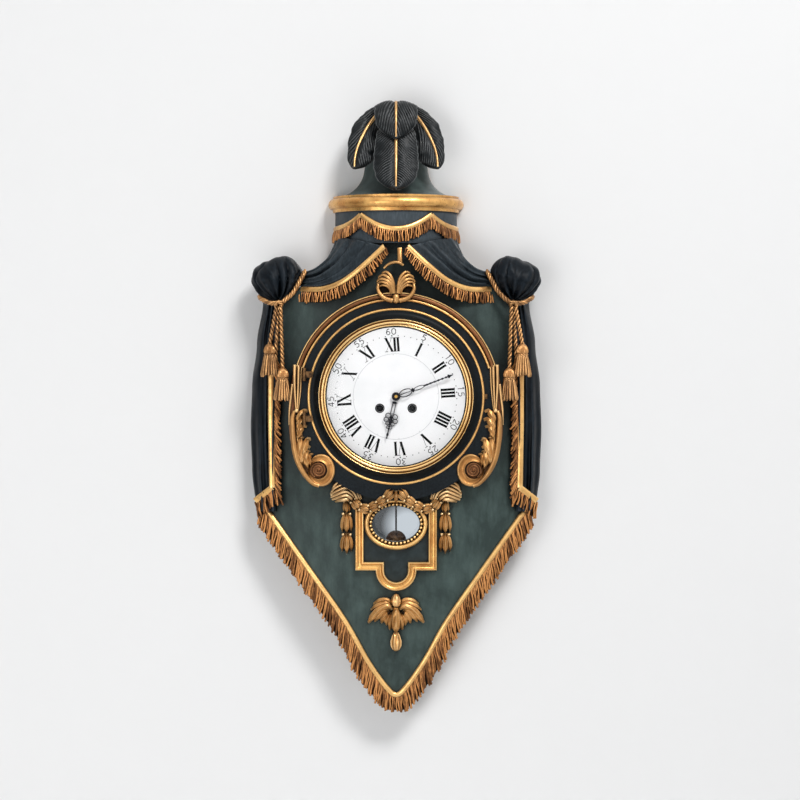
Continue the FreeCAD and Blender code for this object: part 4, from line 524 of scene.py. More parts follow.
# Painted shade: a dark brown copy of the gold leaf, on the arch's band between its bright rim and bead, and
# on the consoles' grounds and sunk whorls.
SHADED_GILDING = GoldLeaf("gold_leaf_painted_shade", Slot.GILT_WOOD, "#74482a", "#52301a", "#42240d", "#1a0b02",
                        0.4, crown="#95683f", polish=0.6)
FRINGE_GILDING = GoldLeaf("oil_gilt_fringe", Slot.GILT_WOOD, "#c0844c", "#532a0f", "#48240c", "#170901",
                          0.38, patch_mm=9.0, hollow_mm=3.0, fleck_mm=3.5, crown="#e0a970", polish=0.12,
                          strand_tones=0.7)
TASSEL_GILDING = GoldLeaf("oil_gilt_tassel", Slot.GILT_WOOD, "#c4905a", "#6c421f", "#542e0e", "#180901",
                          0.38, patch_mm=12.0, hollow_mm=4.0, crown="#e6ba84", polish=0.25, strand_tones=0.5)
# Oil paint on carved pine, pale on its ridges where rubbed and by painted highlight, with painted shade in
# its
# hollows: broad pale clouds on the green front, near-black navy on the cloth, slate on the feathers. Brush
# marks are drawn coarser than real so that they show.
# The green front's painted shade reaches far, so it darkens round the carvings that stand on it.
GREEN_PAINT = WornPaint("clouded_green_oil_paint", Slot.GREEN_PAINT, "#303c3a", "#475653", "#66746f",
                        "#090e0e", 0.52, patch_mm=70.0, brush_mm=16.0, drawn=0.3, wear=0.3, hollow_mm=42.0,
                        gleam=0.2, bare=True)
# Painted light: the valance and the swags take lighter copies of the navy, because light from above falls
# more on them than on the knots and drapes.
LIT_VALANCE_PAINT = WornPaint("navy_paint_lit_valance", Slot.NAVY_PAINT, "#333b40", "#424b52", "#5d666d", "#0b0f12",
                         0.5, patch_mm=60.0, drawn=0.3, wear=0.3, gleam=0.2, bare=True)
LIT_SWAG_PAINT = WornPaint("navy_paint_lit_swags", Slot.NAVY_PAINT, "#181f24", "#2d363c", "#626b72", "#040608",
                       0.44, patch_mm=34.0, drawn=0.3, wear=0.7, gleam=0.15)
NAVY_PAINT = WornPaint("rubbed_navy_oil_paint", Slot.NAVY_PAINT, "#060a0f", "#10181f", "#4c565f", "#010203",
                       0.4, patch_mm=34.0, drawn=0.3, wear=0.7, gleam=0.1)
DRAPE_PAINT = replace(NAVY_PAINT, name="rubbed_navy_drape_paint", bare=True)
FIELD_PAINT = WornPaint("dark_sea_green_oil_paint", Slot.NAVY_PAINT, "#1d2526", "#2e383a", "#4a5556",
                        "#080b0b", 0.5, patch_mm=40.0, brush_mm=12.0, wear=0.3, gleam=0.2)
# The feathers' pale barb ridges are mostly painted highlight.
FEATHER_PAINT = WornPaint("rubbed_slate_oil_paint", Slot.NAVY_PAINT, "#070a0c", "#11171a", "#a5a8a9",
                          "#010202", 0.34, patch_mm=14.0, wear=0.55, hollow_mm=4.0, gleam=0.2)
BLACK_PAINT = WornPaint("satin_black_oil_paint", Slot.BLACK_PAINT, "#070a0c", "#11171a", "#333c43", "#020304",
                        0.42, patch_mm=40.0, wear=0.3, gleam=0.11)
# Painted shade: a dull, almost black coat on the sheets behind the fringes, in the crest's eyes, under the
# garland and the window beads and between the spray's leaves, so that the gilding stands off it.
PAINTED_SHADE = WornPaint("painted_shade_ground", Slot.GILT_WOOD, "#120902", "#22140a", "#3a2412", "#050200",
                         0.7, patch_mm=20.0, wear=0.2, gleam=0.1)
# Sawn pine, never coated: dull brown boards with darker rings.
PINE = SawnPine("aged_pine", Slot.PINE, EARLY_PINE, LATE_PINE)
# Turned brass of the bezel: fire gilt on the reeds, which catch the lamps in thin lines, with painted shade
# between them, a dark copy of the brass on the ring under the reeds. The lathe's lines are drawn coarser than
# real so that they show.
GILT_BRASS = WorkedMetal("fire_gilt_brass", Slot.GILT_BRASS, "#f2cc8f", "#dcae6c", 0.24, grain_mm=12.0,
                         patch_mm=60.0)
SHADED_BRASS = WorkedMetal("gilt_brass_painted_shade", Slot.GILT_BRASS, "#5a3616", "#42250c", 0.35, grain_mm=12.0,
                          patch_mm=60.0)
# Forged iron: dark, rough and patched with rust-brown scale.
IRON = WorkedMetal("forged_iron", Slot.IRON, "#4c4844", "#2a2320", 0.55, 0.9)
# Crown glass: nearly unseen, with soft reflections that waver.
GLASS = ClearGlass("crown_glass", Slot.GLASS, "#fcfdfd")
DIAL_GLASS = ThinPane("thin_crown_glass", Slot.GLASS, 0.1)
# Enamel: a clean white gloss, with figures and a faint ring fired into it that shine less.
ENAMEL = FiredEnamel("white_fired_enamel", Slot.ENAMEL, "#fdfdfe", "#f6f7f8")
BLACK_ENAMEL = FiredEnamel("black_fired_enamel", Slot.ENAMEL, "#060607", "#0d0d0f", 0.4, 0.08)
GREY_ENAMEL = FiredEnamel("faint_grey_enamel", Slot.ENAMEL, "#c4c5c8", "#cfd0d2", 0.25)
# Hands of blackened steel: a dark satin that reads as a flat shape on the white dial.
BLACK_STEEL = WorkedMetal("blackened_steel", Slot.BLACK_STEEL, "#151517", "#09090a", 0.4, 0.6)
# Brass of the movement: lacquered, warm and bright on plates and wheels, bronzed brown on bob and hinges.
BRASS = WorkedMetal("lacquered_clock_brass", Slot.BRASS, "#d8ad5c", "#a37a34", 0.3)
BRONZED_BRASS = WorkedMetal("bronzed_bob_brass", Slot.BRASS, "#6f5133", "#2f2014", 0.4, 0.85, patch_mm=5.0)
# Steel: a cool mirror on the polished anchor and hammer, dull grey on pendulum rod and winding arbors.
STEEL = WorkedMetal("polished_clock_steel", Slot.STEEL, "#b9babd", "#8b8c90", 0.22)
GREY_STEEL = WorkedMetal("grey_pendulum_steel", Slot.STEEL, "#37383b", "#222225", 0.4)
# Turned bell metal: paler and greyer than brass, with a soft shine.
BELL_METAL = WorkedMetal("turned_bell_metal", Slot.BELL_METAL, "#c9b083", "#8f7a50", 0.26)


def to_row(spot: Vector) -> Place:
    """Place in the row frame, in metres, of a place in the clock's millimetres."""
    return (spot.x * MM, -spot.z * MM, (spot.y - HOOK_RISE) * MM)


def front_out(x: float, up: float, proud: float = 0.0) -> float:
    """Distance of the bowed front from the wall.

    Args:
        x: Place to the right of the axis.
        up: Place above the dial centre.
        proud: Height above the front.

    Returns:
        Distance in millimetres.
    """
    sag = BELLY_RADIUS - sqrt(BELLY_RADIUS ** 2 - up ** 2)
    return sqrt((BOW_RADIUS - sag + proud) ** 2 - x ** 2) - (BOW_RADIUS - BELLY_OUT)


def on_front(x: float, up: float, proud: float = 0.0) -> Vector:
    """Place at a height above the bowed front."""
    return Vector((x, up, front_out(x, up, proud)))


def runs_along(line: Sequence[Vector]) -> list[float]:
    """Measure a line.

    Args:
        line: Places along it.

    Returns:
        Distance of each place from the first, along the line.
    """
    runs = [0.0]
    for before, after in zip(line, line[1:]):
        runs.append(runs[-1] + (after - before).length)
    return runs


def angles(turn: float, steps: int) -> list[float]:
    """Angles from zero to a turn, in even steps."""
    return [turn * step / steps for step in range(steps + 1)]


def circle(steps: int) -> list[float]:
    """Angles once round a circle, in even steps, without the last, which is the first again."""
    return angles(tau, steps)[:-1]


def even(line: Sequence[Vector], count: int) -> Ring:
    """Share a line out into steps of one length.

    Args:
        line: Places along it.
        count: Number of steps.

    Returns:
        One more place than steps.
    """
    runs = runs_along(line)
    spots = []
    index = 0
    for step in range(count + 1):
        goal = runs[-1] * step / count
        while index < len(runs) - 2 and runs[index + 1] < goal:
            index += 1
        span = runs[index + 1] - runs[index] or 1.0
        spots.append(line[index].lerp(line[index + 1], (goal - runs[index]) / span))
    return spots


def spline(stops: Sequence, count: int) -> Ring:
    """Smooth line through stops, in even steps.

    Args:
        stops: Places, as vectors or triples.
        count: Number of steps.

    Returns:
        One more place than steps.
    """
    knots = [Vector(stop) for stop in stops]
    knots = [knots[0] * 2 - knots[1], *knots, knots[-1] * 2 - knots[-2]]
    dense = []
    for a, b, c, d in zip(knots, knots[1:], knots[2:], knots[3:]):
        for step in range(SPAN_STEPS):
            t = step / SPAN_STEPS
            dense.append(0.5 * (2 * b + (c - a) * t + (2 * a - 5 * b + 4 * c - d) * t ** 2
                                + (3 * b - a - 3 * c + d) * t ** 3))
    return even([*dense, knots[-2]], count)


def eased(values: Sequence[float], share: float) -> float:
    """Read evenly spaced values, eased between them.

    Args:
        values: Values at even steps.
        share: Share of the way along them.

    Returns:
        The value there.
    """
    spot = min(max(share, 0.0), 1.0) * (len(values) - 1)
    index = min(int(spot), len(values) - 2)
    part = spot - index
    part = part * part * (3 - 2 * part)
    return values[index] * (1 - part) + values[index + 1] * part


def rails(line: Sequence[Vector]) -> list[tuple[Vector, Vector, Vector]]:
    """Directions along and across a line that turn as little as they can.

    Args:
        line: Places along it.

    Returns:
        For each place the direction along the line and two across it.
    """
    along = (line[1] - line[0]).normalized()
    side = along.cross(OUT)
    if side.length < 0.2:
        side = along.cross(UP)
    frames = []
    for index in range(len(line)):
        before = line[max(index - 1, 0)]
        after = line[min(index + 1, len(line) - 1)]
        along = (after - before).normalized()
        side = (side - along * side.dot(along)).normalized()
        frames.append((along, side, along.cross(side)))
    return frames


@dataclass
class Carving:
    """Shapes of one piece, gathered before they become its mesh."""

    spots: Ring = field(default_factory=list)
    faces: list[tuple[int, ...]] = field(default_factory=list)

    def loft(self, rings: Sequence[Sequence[Vector]], round_and_round: bool = False) -> None:
        """Skin over closed rings of places.

        Args:
            rings: Rings with the same number of places.
            round_and_round: Join the last ring to the first; else both ends are capped.
        """
        start = len(self.spots)
        size = len(rings[0])
        for ring in rings:
            self.spots.extend(ring)
        for row in range(len(rings) if round_and_round else len(rings) - 1):
            low = start + row * size
            high = start + (row + 1) % len(rings) * size
            for col in range(size):
                after = (col + 1) % size
                self.faces.append((low + col, low + after, high + after, high + col))
        if not round_and_round:
            last = start + (len(rings) - 1) * size
            self.faces.append(tuple(start + col for col in reversed(range(size))))
            self.faces.append(tuple(last + col for col in range(size)))

    def tube(self, line: Sequence[Vector], radius: Callable[[float], float], sides: int = 8,
             flatness: float = 1.0) -> None:
        """Round bar along a line.

        Args:
            line: Places along the bar.
            radius: Radius at a share of the length.
            sides: Faces round the bar.
            flatness: Height of the section as a share of its width.
        """
        rings = []
        turns = circle(sides)
        for index, (middle, (_, side, lift)) in enumerate(zip(line, rails(line))):
            reach = radius(index / (len(line) - 1))
            rings.append([middle + (side * cos(a) + lift * sin(a) * flatness) * reach for a in turns])
        self.loft(rings)

    def rope(self, line: Sequence[Vector], radius: float, strands: int = 3, lay: float = 5.0) -> None:
        """Rope of twisted strands.

        Args:
            line: Places along the rope, close enough to follow the twist.
            radius: Outside radius.
            strands: Number of strands.
            lay: Length of one twist, in radii.
        """
        frames = rails(line)
        runs = runs_along(line)
        for strand in range(strands):
            path = []
            for middle, run, (_, side, lift) in zip(line, runs, frames):
                turn = tau * (run / (lay * radius) + strand / strands)
                path.append(middle + (side * cos(turn) + lift * sin(turn)) * radius * 0.5)
            self.tube(path, lambda share: radius * 0.54, 7)

    def turned(self, profile: Section, middle: Vector, axis: Vector, sides: int = 32, flutes: int = 0,
               depth: float = 0.0) -> None:
        """Turned solid.

        Args:
            profile: Radius and height of each step, from one end to the other.
            middle: Place of height zero on the axis.
            axis: Direction of the axis.
            sides: Places round each step.
            flutes: Number of flutes cut along it.
            depth: Depth of the flutes as a share of the radius.
        """
        side = axis.cross(OUT if abs(axis.z) < 0.9 else UP).normalized()
        lift = axis.cross(side)
        rings = []
        for radius, height in profile:
            ring = []
            for turn in circle(sides):
                cut = depth * abs(cos(flutes * turn / 2)) if flutes else 0.0
                reach = max(radius, LEAST_RADIUS) * (1 - cut)
                ring.append(middle + axis * height + (side * cos(turn) + lift * sin(turn)) * reach)
            rings.append(ring)
        self.loft(rings)

    def bead(self, middle: Vector, radius: float, sides: int = 10) -> None:
        """Small ball."""
        arc = [(radius * sin(a), -radius * cos(a)) for a in angles(pi, 6)]
        self.turned(arc, middle, OUT, sides)

    def hoop(self, profile: Section, start: float = 0.0, end: float = 360.0, steps: int = 144) -> None:
        """Moulding turned about the dial axis.

        Args:
            profile: Radius and out of each corner of the section, in order.
            start: Degrees from the x axis where it starts.
            end: Degrees where it ends.
            steps: Steps along it.
        """
        whole = end - start >= 360.0
        rings = []
        for step in range(steps if whole else steps + 1):
            turn = radians(start + (end - start) * step / steps)
            rings.append([Vector((r * cos(turn), r * sin(turn), out)) for r, out in profile])
        self.loft(rings, whole)

    def strip(self, line: Sequence[Vector], across: Sequence[Vector], lifts: Sequence[Vector],
              profile: Section) -> None:
        """Moulding with one section along a line.

        Args:
            line: Places along it.
            across: Direction across it at each place.
            lifts: Direction of its height at each place.
            profile: Offset across and height of each corner of the section.
        """
        self.loft([[spot + wide * a + lift * h for a, h in profile]
                   for spot, wide, lift in zip(line, across, lifts)])

    def leaf(self, stops: Sequence, widths: Sequence[float], rise: float = 3.0, lobes: int = 0,
             notch: float = 0.0, rib: float = 0.8, thick: float = 2.5) -> None:
        """Carved leaf that faces out: an arched blade with a midrib, notched edges and veins.

        Args:
            stops: Places along the midrib.
            widths: Widths at even steps along it.
            rise: Arch of the blade.
            lobes: Number of lobes on each edge.
            notch: Depth of the notches as a share of the half width.
            rib: Height of the midrib.
            thick: Thickness below the edges.
        """
        rows = 14 + 8 * lobes
        line = spline(stops, rows)
        columns = [-1 + step / 6 for step in range(13)]
        rings = []
        for index, (middle, (along, _, _)) in enumerate(zip(line, rails(line))):
            share = index / rows
            wide = along.cross(OUT).normalized()
            lift = wide.cross(along)
            beat = 0.5 - 0.5 * cos(tau * lobes * share)
            half = max(0.3, eased(widths, share) / 2 * (1 - notch * (1 - beat)))
            front = []
            for u in columns:
                vein = 0.35 * rib * cos(tau * (lobes * share - 0.9 * abs(u))) if lobes else 0.0
                height = rise * (1 - u * u) + rib * exp(-(u / 0.17) ** 2) + vein * (1 - u * u)
                front.append(middle + wide * (half * u) + lift * height)
            back = [middle + wide * (half * u) - lift * thick for u in (0.9, 0.3, -0.3, -0.9)]
            rings.append(front + back)
        self.loft(rings)

    def mirrored(self) -> "Carving":
        """The same shapes on the other side of the axis."""
        return Carving([Vector((-s.x, s.y, s.z)) for s in self.spots],
                       [tuple(reversed(face)) for face in self.faces])

    def join(self, other: "Carving") -> None:
        """Take in the shapes of another carving.

        Args:
            other: The carving that is added.
        """
        start = len(self.spots)
        self.spots.extend(other.spots)
        self.faces.extend(tuple(start + corner for corner in face) for face in other.faces)

    def paired(self) -> "Carving":
        """Pair right-hand shapes with their mirror images.

        Returns:
            A carving of both sides.
        """
        both = self.mirrored()
        both.join(self)
        return both

    def piece(self, name: str, finish: Finish, body: str = "case", stands_for: Sequence[str] = (),
              crease: Crease = Crease.PLAIN) -> bpy.types.Object:
        """Make the mesh and set it on its body.

        Args:
            name: Name of the piece.
            finish: Its surface.
            body: Body it moves with.
            stands_for: Solids that it replaces.
            crease: Which edges stay sharp.

        Returns:
            The new object.
        """
        mesh = bpy.data.meshes.new(name)
        mesh.from_pydata([to_row(spot) for spot in self.spots], [], self.faces)
        shell = bmesh.new()
        shell.from_mesh(mesh)
        bmesh.ops.recalc_face_normals(shell, faces=shell.faces)
        shell.to_mesh(mesh)
        shell.free()
        mesh.shade_smooth()
        mesh.set_sharp_from_angle(angle=radians(crease.value))
        made = bpy.data.objects.new(name, mesh)
        bpy.context.scene.collection.objects.link(made)
        mesh.materials.append(finish.material())
        if stands_for:
            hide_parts(*stands_for)
        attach(made, body)
        log.info("%s: %d faces on %s", name, len(mesh.polygons), body)
        return made


@dataclass
class Strands:
    """Carved fringe: a close row of strands on a ground painted dark as the shade between them."""

    pitch: float = 3.3
    radius: float = 1.55
    unrest: float = 0.08
    seed: int = 1

    def hang(self, carving: Carving, ground: Carving, tops: Sequence[Vector], aims: Sequence[Vector],
             lengths: Sequence[float], lifts: Sequence[Vector]) -> None:
        """Hang strands along an edge.

        Args:
            carving: Where the strands are added.
            ground: Where the backing is added.
            tops: Places along the edge, close together.
            aims: Direction of the strands at each place.
            lengths: Length of the strands at each place.
            lifts: Direction off the backing at each place.
        """
        draw = random.Random(self.seed)
        total = max(2, int(runs_along(tops)[-1] / self.pitch))
        for step, top in enumerate(even(tops, total)):
            near = min(int(round(step / total * (len(tops) - 1))), len(tops) - 1)
            lift = lifts[near]
            sway = lift.cross(aims[near]) * draw.uniform(-self.unrest, self.unrest)
            aim = (aims[near] + sway).normalized()
            reach = lengths[near] * draw.uniform(0.9, 1.04)
            thick = self.radius * draw.uniform(0.78, 1.08)
            height = lift * draw.uniform(-0.4, 1.7)
            wide = lift.cross(aim) * draw.uniform(0.3, 0.9)
            phase = draw.uniform(0.0, tau)
            path = [top + aim * (reach * share) + height * share + lift * (1.2 * sin(pi * share))
                    + wide * (sin(6.0 * share + phase) * min(1.0, 4.0 * share))
                    for share in (0.0, 0.12, 0.25, 0.4, 0.55, 0.7, 0.82, 0.91, 0.97, 1.0)]
            carving.tube(path, lambda share: thick * (0.8 + 0.25 * share if share < 0.95 else 0.5), 6)
        rings = [[top - lift * 2.0, top + lift * 0.2, top + aim * (reach * 0.9) + lift * 0.2,
                  top + aim * (reach * 0.9) - lift * 2.0]
                 for top, aim, reach, lift in zip(tops, aims, lengths, lifts)]
        ground.loft(rings)


# Section of the gilt bands: offset across, height.
FLAT_BAND = ((-3.2, -1.0), (-3.2, 1.4), (-2.2, 2.4), (0.0, 2.9), (2.2, 2.4), (3.2, 1.4), (3.2, -1.0))

# Gilt band, strands of the fringe and the ground behind them, painted dark as shade.
Border = tuple[Carving, Carving, Carving]


def band_section(wide: float, high: float = 1.0) -> Section:
    """Section of a gilt band, made wider and higher."""
    return [(across * wide, height * high) for across, height in FLAT_BAND]


def hang_pair(kind: str, paint: WornPaint, cloths: dict[Side, Carving], borders: dict[Side, Border]) -> None:
    """Hang cloths and their borders on both sides of the clock, the left ones mirrored.

    Args:
        kind: What the cloth is called.
        paint: Its finish.
        cloths: For each side a cloth, carved as a right one.
        borders: For each side a border, carved as a right one.
    """
    trims = (Carving(), Carving(), Carving())
    for side in Side:
        cloth, border = cloths[side], borders[side]
        if side is Side.LEFT:
            cloth, border = cloth.mirrored(), tuple(part.mirrored() for part in border)
        node = f"{side.name.lower()}_{kind}"
        cloth.piece(f"{node}_cloth", paint, stands_for=[node], crease=Crease.CLOTH)
        for trim, part in zip(trims, border):
            trim.join(part)
    bands, strands, ground = trims
    bands.piece(f"{kind}_bands", BRIGHT_GILDING)
    strands.piece(f"{kind}_strands", FRINGE_GILDING, stands_for=[f"{kind}_fringes"])
    # The fringes' ground is painted shade.
    ground.piece(f"{kind}_fringe_ground", PAINTED_SHADE)


@dataclass
class Plume:
    """Four feathers that curl forward over the bell, with gilt quills."""

    top: float = 433.0
    # Places along the quills, with up given from the plume's top.
    crown: Stops = ((0, -45, 20), (0, -18, 26), (0, -7, 42), (0, -11, 60), (0, -29, 71), (0, -57, 75))
    crown_widths: Sizes = (20, 28, 31, 31.5, 31, 26)
    breast: Stops = ((0, -41, 44), (0, -47, 60), (0, -65, 67), (0, -88, 72), (0, -113, 82), (0, -132.5, 94))
    breast_widths: Sizes = (25, 29, 32, 33, 31, 27)
    flank: Stops = ((22, -13, 26), (32.7, -25, 35), (44.6, -43, 44), (55, -65, 52), (59.7, -83, 57),
                    (61.0, -100, 61))
    flank_outer: Sizes = (12, 16.5, 20, 17, 12, 9)
    flank_inner: Sizes = (12, 14, 19, 27, 27, 24)
    barb_pitch: float = 3.5
    barb_depth: float = 1.9
    rise: float = 8.0
    rows: int = 130
    columns: int = 64

    def feather(self, stops: Stops, outer: Sequence[float], inner: Sequence[float], sideways: bool,
                blunt: float, slant: Pair, seed: float) -> tuple[Carving, Carving]:
        """Carve one feather.

        Args:
            stops: Places along the quill from its root to its tip.
            outer: Widths of the vane on the right of the quill, at even steps.
            inner: Widths on its left.
            sideways: The feather lies beside the axis.
            blunt: Share of the length at which the tip starts to round.
            slant: Steps of the barbs along and across the feather.
            seed: Moves the waves of the barbs.

        Returns:
            The painted vane and the gilt quill.
        """
        vane = Carving()
        quill = Carving()
        line = spline([(x, self.top + up, out) for x, up, out in stops], self.rows)
        length = runs_along(line)[-1]
        rings = []
        ridge = []
        for index, (middle, (along, _, _)) in enumerate(zip(line, rails(line))):
            share = index / self.rows
            wide = Vector((-along.y, along.x, 0.0)).normalized() if sideways else ACROSS
            face = along.cross(wide).normalized()
            run = share * length
            tip = max(0.0, (share - blunt) / (1 - blunt))
            full = sqrt(max(0.004, 1 - tip ** 2.2))
            full *= 1 + 0.012 * sin(run / 3.1 + seed) + 0.012 * sin(run / 1.7 + 2 * seed)
            right, left = eased(outer, share) * full, eased(inner, share) * full
            front = []
            for col in range(self.columns + 1):
                u = -1 + 2 * col / self.columns
                off = u * (right if u > 0 else left)
                wave = noise.noise(Vector((run * 0.035, off * 0.05, seed)))
                phase = (slant[0] * run - slant[1] * abs(off)) / self.barb_pitch + 1.1 * wave
                tuft = noise.noise(Vector((run * 0.06, off * 0.1, seed + 7)))
                deep = self.barb_depth * max(0.1, 0.65 + 1.5 * tuft)
                barb = deep * (abs(sin(pi * phase)) - 0.6) * min(1.0, abs(off) / 3.0) * (1 - u ** 6)
                height = self.rise * (1 - abs(u) ** 2.3) - 3.0 * exp(-(off / 5.5) ** 2) + barb
                front.append(middle + wide * off + face * height)
            back = [middle + wide * (u * (right if u > 0 else left)) - face * (0.4 * self.rise * (1 - u * u))
                    for u in (0.9, 0.6, 0.2, -0.2, -0.6, -0.9)]
            rings.append(front + back)
            if 0.04 < share < 0.985:
                ridge.append(middle + face * (self.rise - 2.2))
        vane.loft(rings)
        quill.tube(ridge, lambda share: 3.0 - 1.7 * share, 10, 0.7)
        return vane, quill

    def build(self) -> None:
        """Carve the plume."""
        vanes = Carving()
        quills = Carving()
        crown, breast = self.crown_widths, self.breast_widths
        feathers = [self.feather(self.crown, crown, crown, False, 0.7, (0.3, 0.95), 1.3),
                    self.feather(self.breast, breast, breast, False, 0.68, (0.8, 0.7), 4.1)]
        for side in Side:
            vane, quill = self.feather(self.flank, self.flank_outer, self.flank_inner, True, 0.84,
                                       (0.35, 0.95), 6.2 + side.value)
            feathers.append((vane, quill) if side is Side.RIGHT else (vane.mirrored(), quill.mirrored()))
        for vane, quill in feathers:
            vanes.join(vane)
            quills.join(quill)
        vanes.piece("feather_vanes", FEATHER_PAINT, stands_for=["plume_feathers"], crease=Crease.FEATHER)
        quills.piece("feather_quills", CARVED_GILDING)


@dataclass
class ValanceTrim:
    """Scalloped gilt band with its fringe round the half-round valance."""

    radius: float = 90.0
    point: float = 51.0
    peak: float = 265.0
    dip: float = 21.0
    end: float = 98.0
    sweep: float = 87.0
    fringe: float = 18.5

    def edge(self, x: float) -> float:
        """Follow the scalloped edge.

        Args:
            x: Place across the front.

        Returns:
            Height of the edge there.
        """
        if abs(x) <= self.point:
            return self.peak - self.dip * (1 - (x / self.point) ** 2)
        share = (self.end - abs(x)) / (self.end - self.point)
        return self.peak - 0.9 * self.dip * (1 - share ** 2.4)

    def run(self, start: float, end: float, steps: int) -> tuple[Ring, Ring]:
        """Places and outward directions along a part of the edge.

        Args:
            start: First angle round the valance, degrees from the front.
            end: Last angle.
            steps: Number of steps.

        Returns:
            The places and the outward direction at each.
        """
        spots = []
        lifts = []
        for step in range(steps + 1):
            turn = radians(start + (end - start) * step / steps)
            lift = Vector((sin(turn), 0.0, cos(turn)))
            spots.append(lift * self.radius + UP * self.edge(self.radius * sin(turn)))
            lifts.append(lift)
        return spots, lifts

    def build(self) -> None:
        """Carve band and fringe."""
        band = Carving()
        fringe = Carving()
        bend = degrees(asin(self.point / self.radius))
        for start, end in ((-self.sweep, -bend), (-bend, bend), (bend, self.sweep)):
            spots, lifts = self.run(start, end, 40)
            wides = [along.cross(lift).normalized() for (along, _, _), lift in zip(rails(spots), lifts)]
            band.strip(spots, wides, lifts, band_section(1.2))
        spots, lifts = self.run(-self.sweep, self.sweep, 120)
        tops = [spot - UP * 1.5 + lift for spot, lift in zip(spots, lifts)]
        aims = [(-UP + lift * 0.1).normalized() for lift in lifts]
        ground = Carving()
        Strands(seed=3).hang(fringe, ground, tops, aims, [self.fringe] * len(tops), lifts)
        # The fringe's ground is painted shade.
        ground.piece("valance_fringe_ground", PAINTED_SHADE)
        band.piece("valance_band", BRIGHT_GILDING)
        fringe.piece("valance_strands", FRINGE_GILDING, stands_for=["valance_fringe"])


@dataclass
class TentSwags:
    """Tent cloth between the canopy and the knots, with gilt border and fringe."""

    uppers: Stops = ((139, 181, 50), (119, 188, 56), (103, 202, 58), (94, 217, 48), (89, 233, 30))
    lowers: Stops = ((139, 157, 52), (106, 157, 70), (76, 168, 86), (46, 191, 94), (17, 218, 95))
    bulges: Sizes = (2.0, 4.0, 6.0, 9.0, 13.0)
    aims: Stops = ((0.15, -1, 0.1), (-0.1, -1, 0.1), (-0.35, -0.9, 0.1), (-0.4, -0.85, 0.05),
                   (-0.4, -0.75, 0.0))
    lean: Place = (0.5, 0.25, 0.85)
    face: Place = (0.18, 0.12, 1.0)
    thick: float = 8.0
    fold: float = 4.6
    fringe: float = 19.0
    fringe_shares: Sizes = (1.0, 1.0, 1.0, 0.95, 0.6)
    rows: int = 70
    columns: int = 54
    border_steps: int = 60

    def cloth(self, seed: float) -> Carving:
        """Right swag: folds that run from the canopy into the knot.

        Args:
            seed: Moves the folds.

        Returns:
            The carved cloth.
        """
        carving = Carving()
        rings = []
        uppers = spline(self.uppers, self.rows)
        lowers = spline(self.lowers, self.rows)
        for row, (upper, lower) in enumerate(zip(uppers, lowers)):
            share = row / self.rows
            chord = lower - upper
            lean = Vector(self.lean)
            lean = (lean - chord * (lean.dot(chord) / chord.dot(chord))).normalized()
            bulge = eased(self.bulges, share)
            deep = self.fold * (0.35 + 0.65 * sin(pi * (0.12 + 0.8 * share)))
            front = []
            for col in range(self.columns + 1):
                v = col / self.columns
                drift = 0.13 * sin(3.0 * share + seed) + 0.05 * sin(9.0 * share + 2 * seed)
                main = abs(sin(pi * (3.1 * (v ** 1.15) + drift))) ** 0.75 - 0.45
                small = 0.3 * sin(tau * (4.7 * v - 0.8 * share) + seed)
                calm = min(1.0, (1 - v) * 5.0)
                height = bulge * sin(pi * v) + deep * (main + small) * calm
                front.append(upper + chord * v + lean * height)
            back = [upper + chord * v + lean * (0.7 * bulge * sin(pi * v) - self.thick)
                    for v in (1.0, 0.75, 0.5, 0.25, 0.0)]
            rings.append(front + back)
        carving.loft(rings)
        return carving

    def border(self, seed: int) -> Border:
        """Gilt band and fringe of the right swag.

        Args:
            seed: Seed of the strands.

        Returns:
            Band, fringe and the fringe's ground.
        """
        band, fringe, ground = Carving(), Carving(), Carving()
        steps = self.border_steps
        line = spline(self.lowers, steps)
        aims = [Vector(spot).normalized() for spot in spline(self.aims, steps)]
        face = Vector(self.face)
        lifts = [(face - aim * face.dot(aim)).normalized() for aim in aims]
        bed = [spot + lift * 1.5 for spot, lift in zip(line, lifts)]
        band.strip(bed, aims, lifts, band_section(1.25))
        tops = [spot + aim * 1.5 + lift * 0.8 for spot, aim, lift in zip(line, aims, lifts)]
        lengths = [self.fringe * eased(self.fringe_shares, step / steps) for step in range(steps + 1)]
        Strands(seed=seed).hang(fringe, ground, tops, aims, lengths, lifts)
        return band, fringe, ground

    def build(self) -> None:
        """Carve both swags with their borders."""
        cloths = {Side.LEFT: self.cloth(2.1), Side.RIGHT: self.cloth(0.6)}
        # The swags' cloth takes the lighter copy of the navy, which is painted light.
        hang_pair("swag", LIT_SWAG_PAINT, cloths, {side: self.border(11 + side.value) for side in Side})


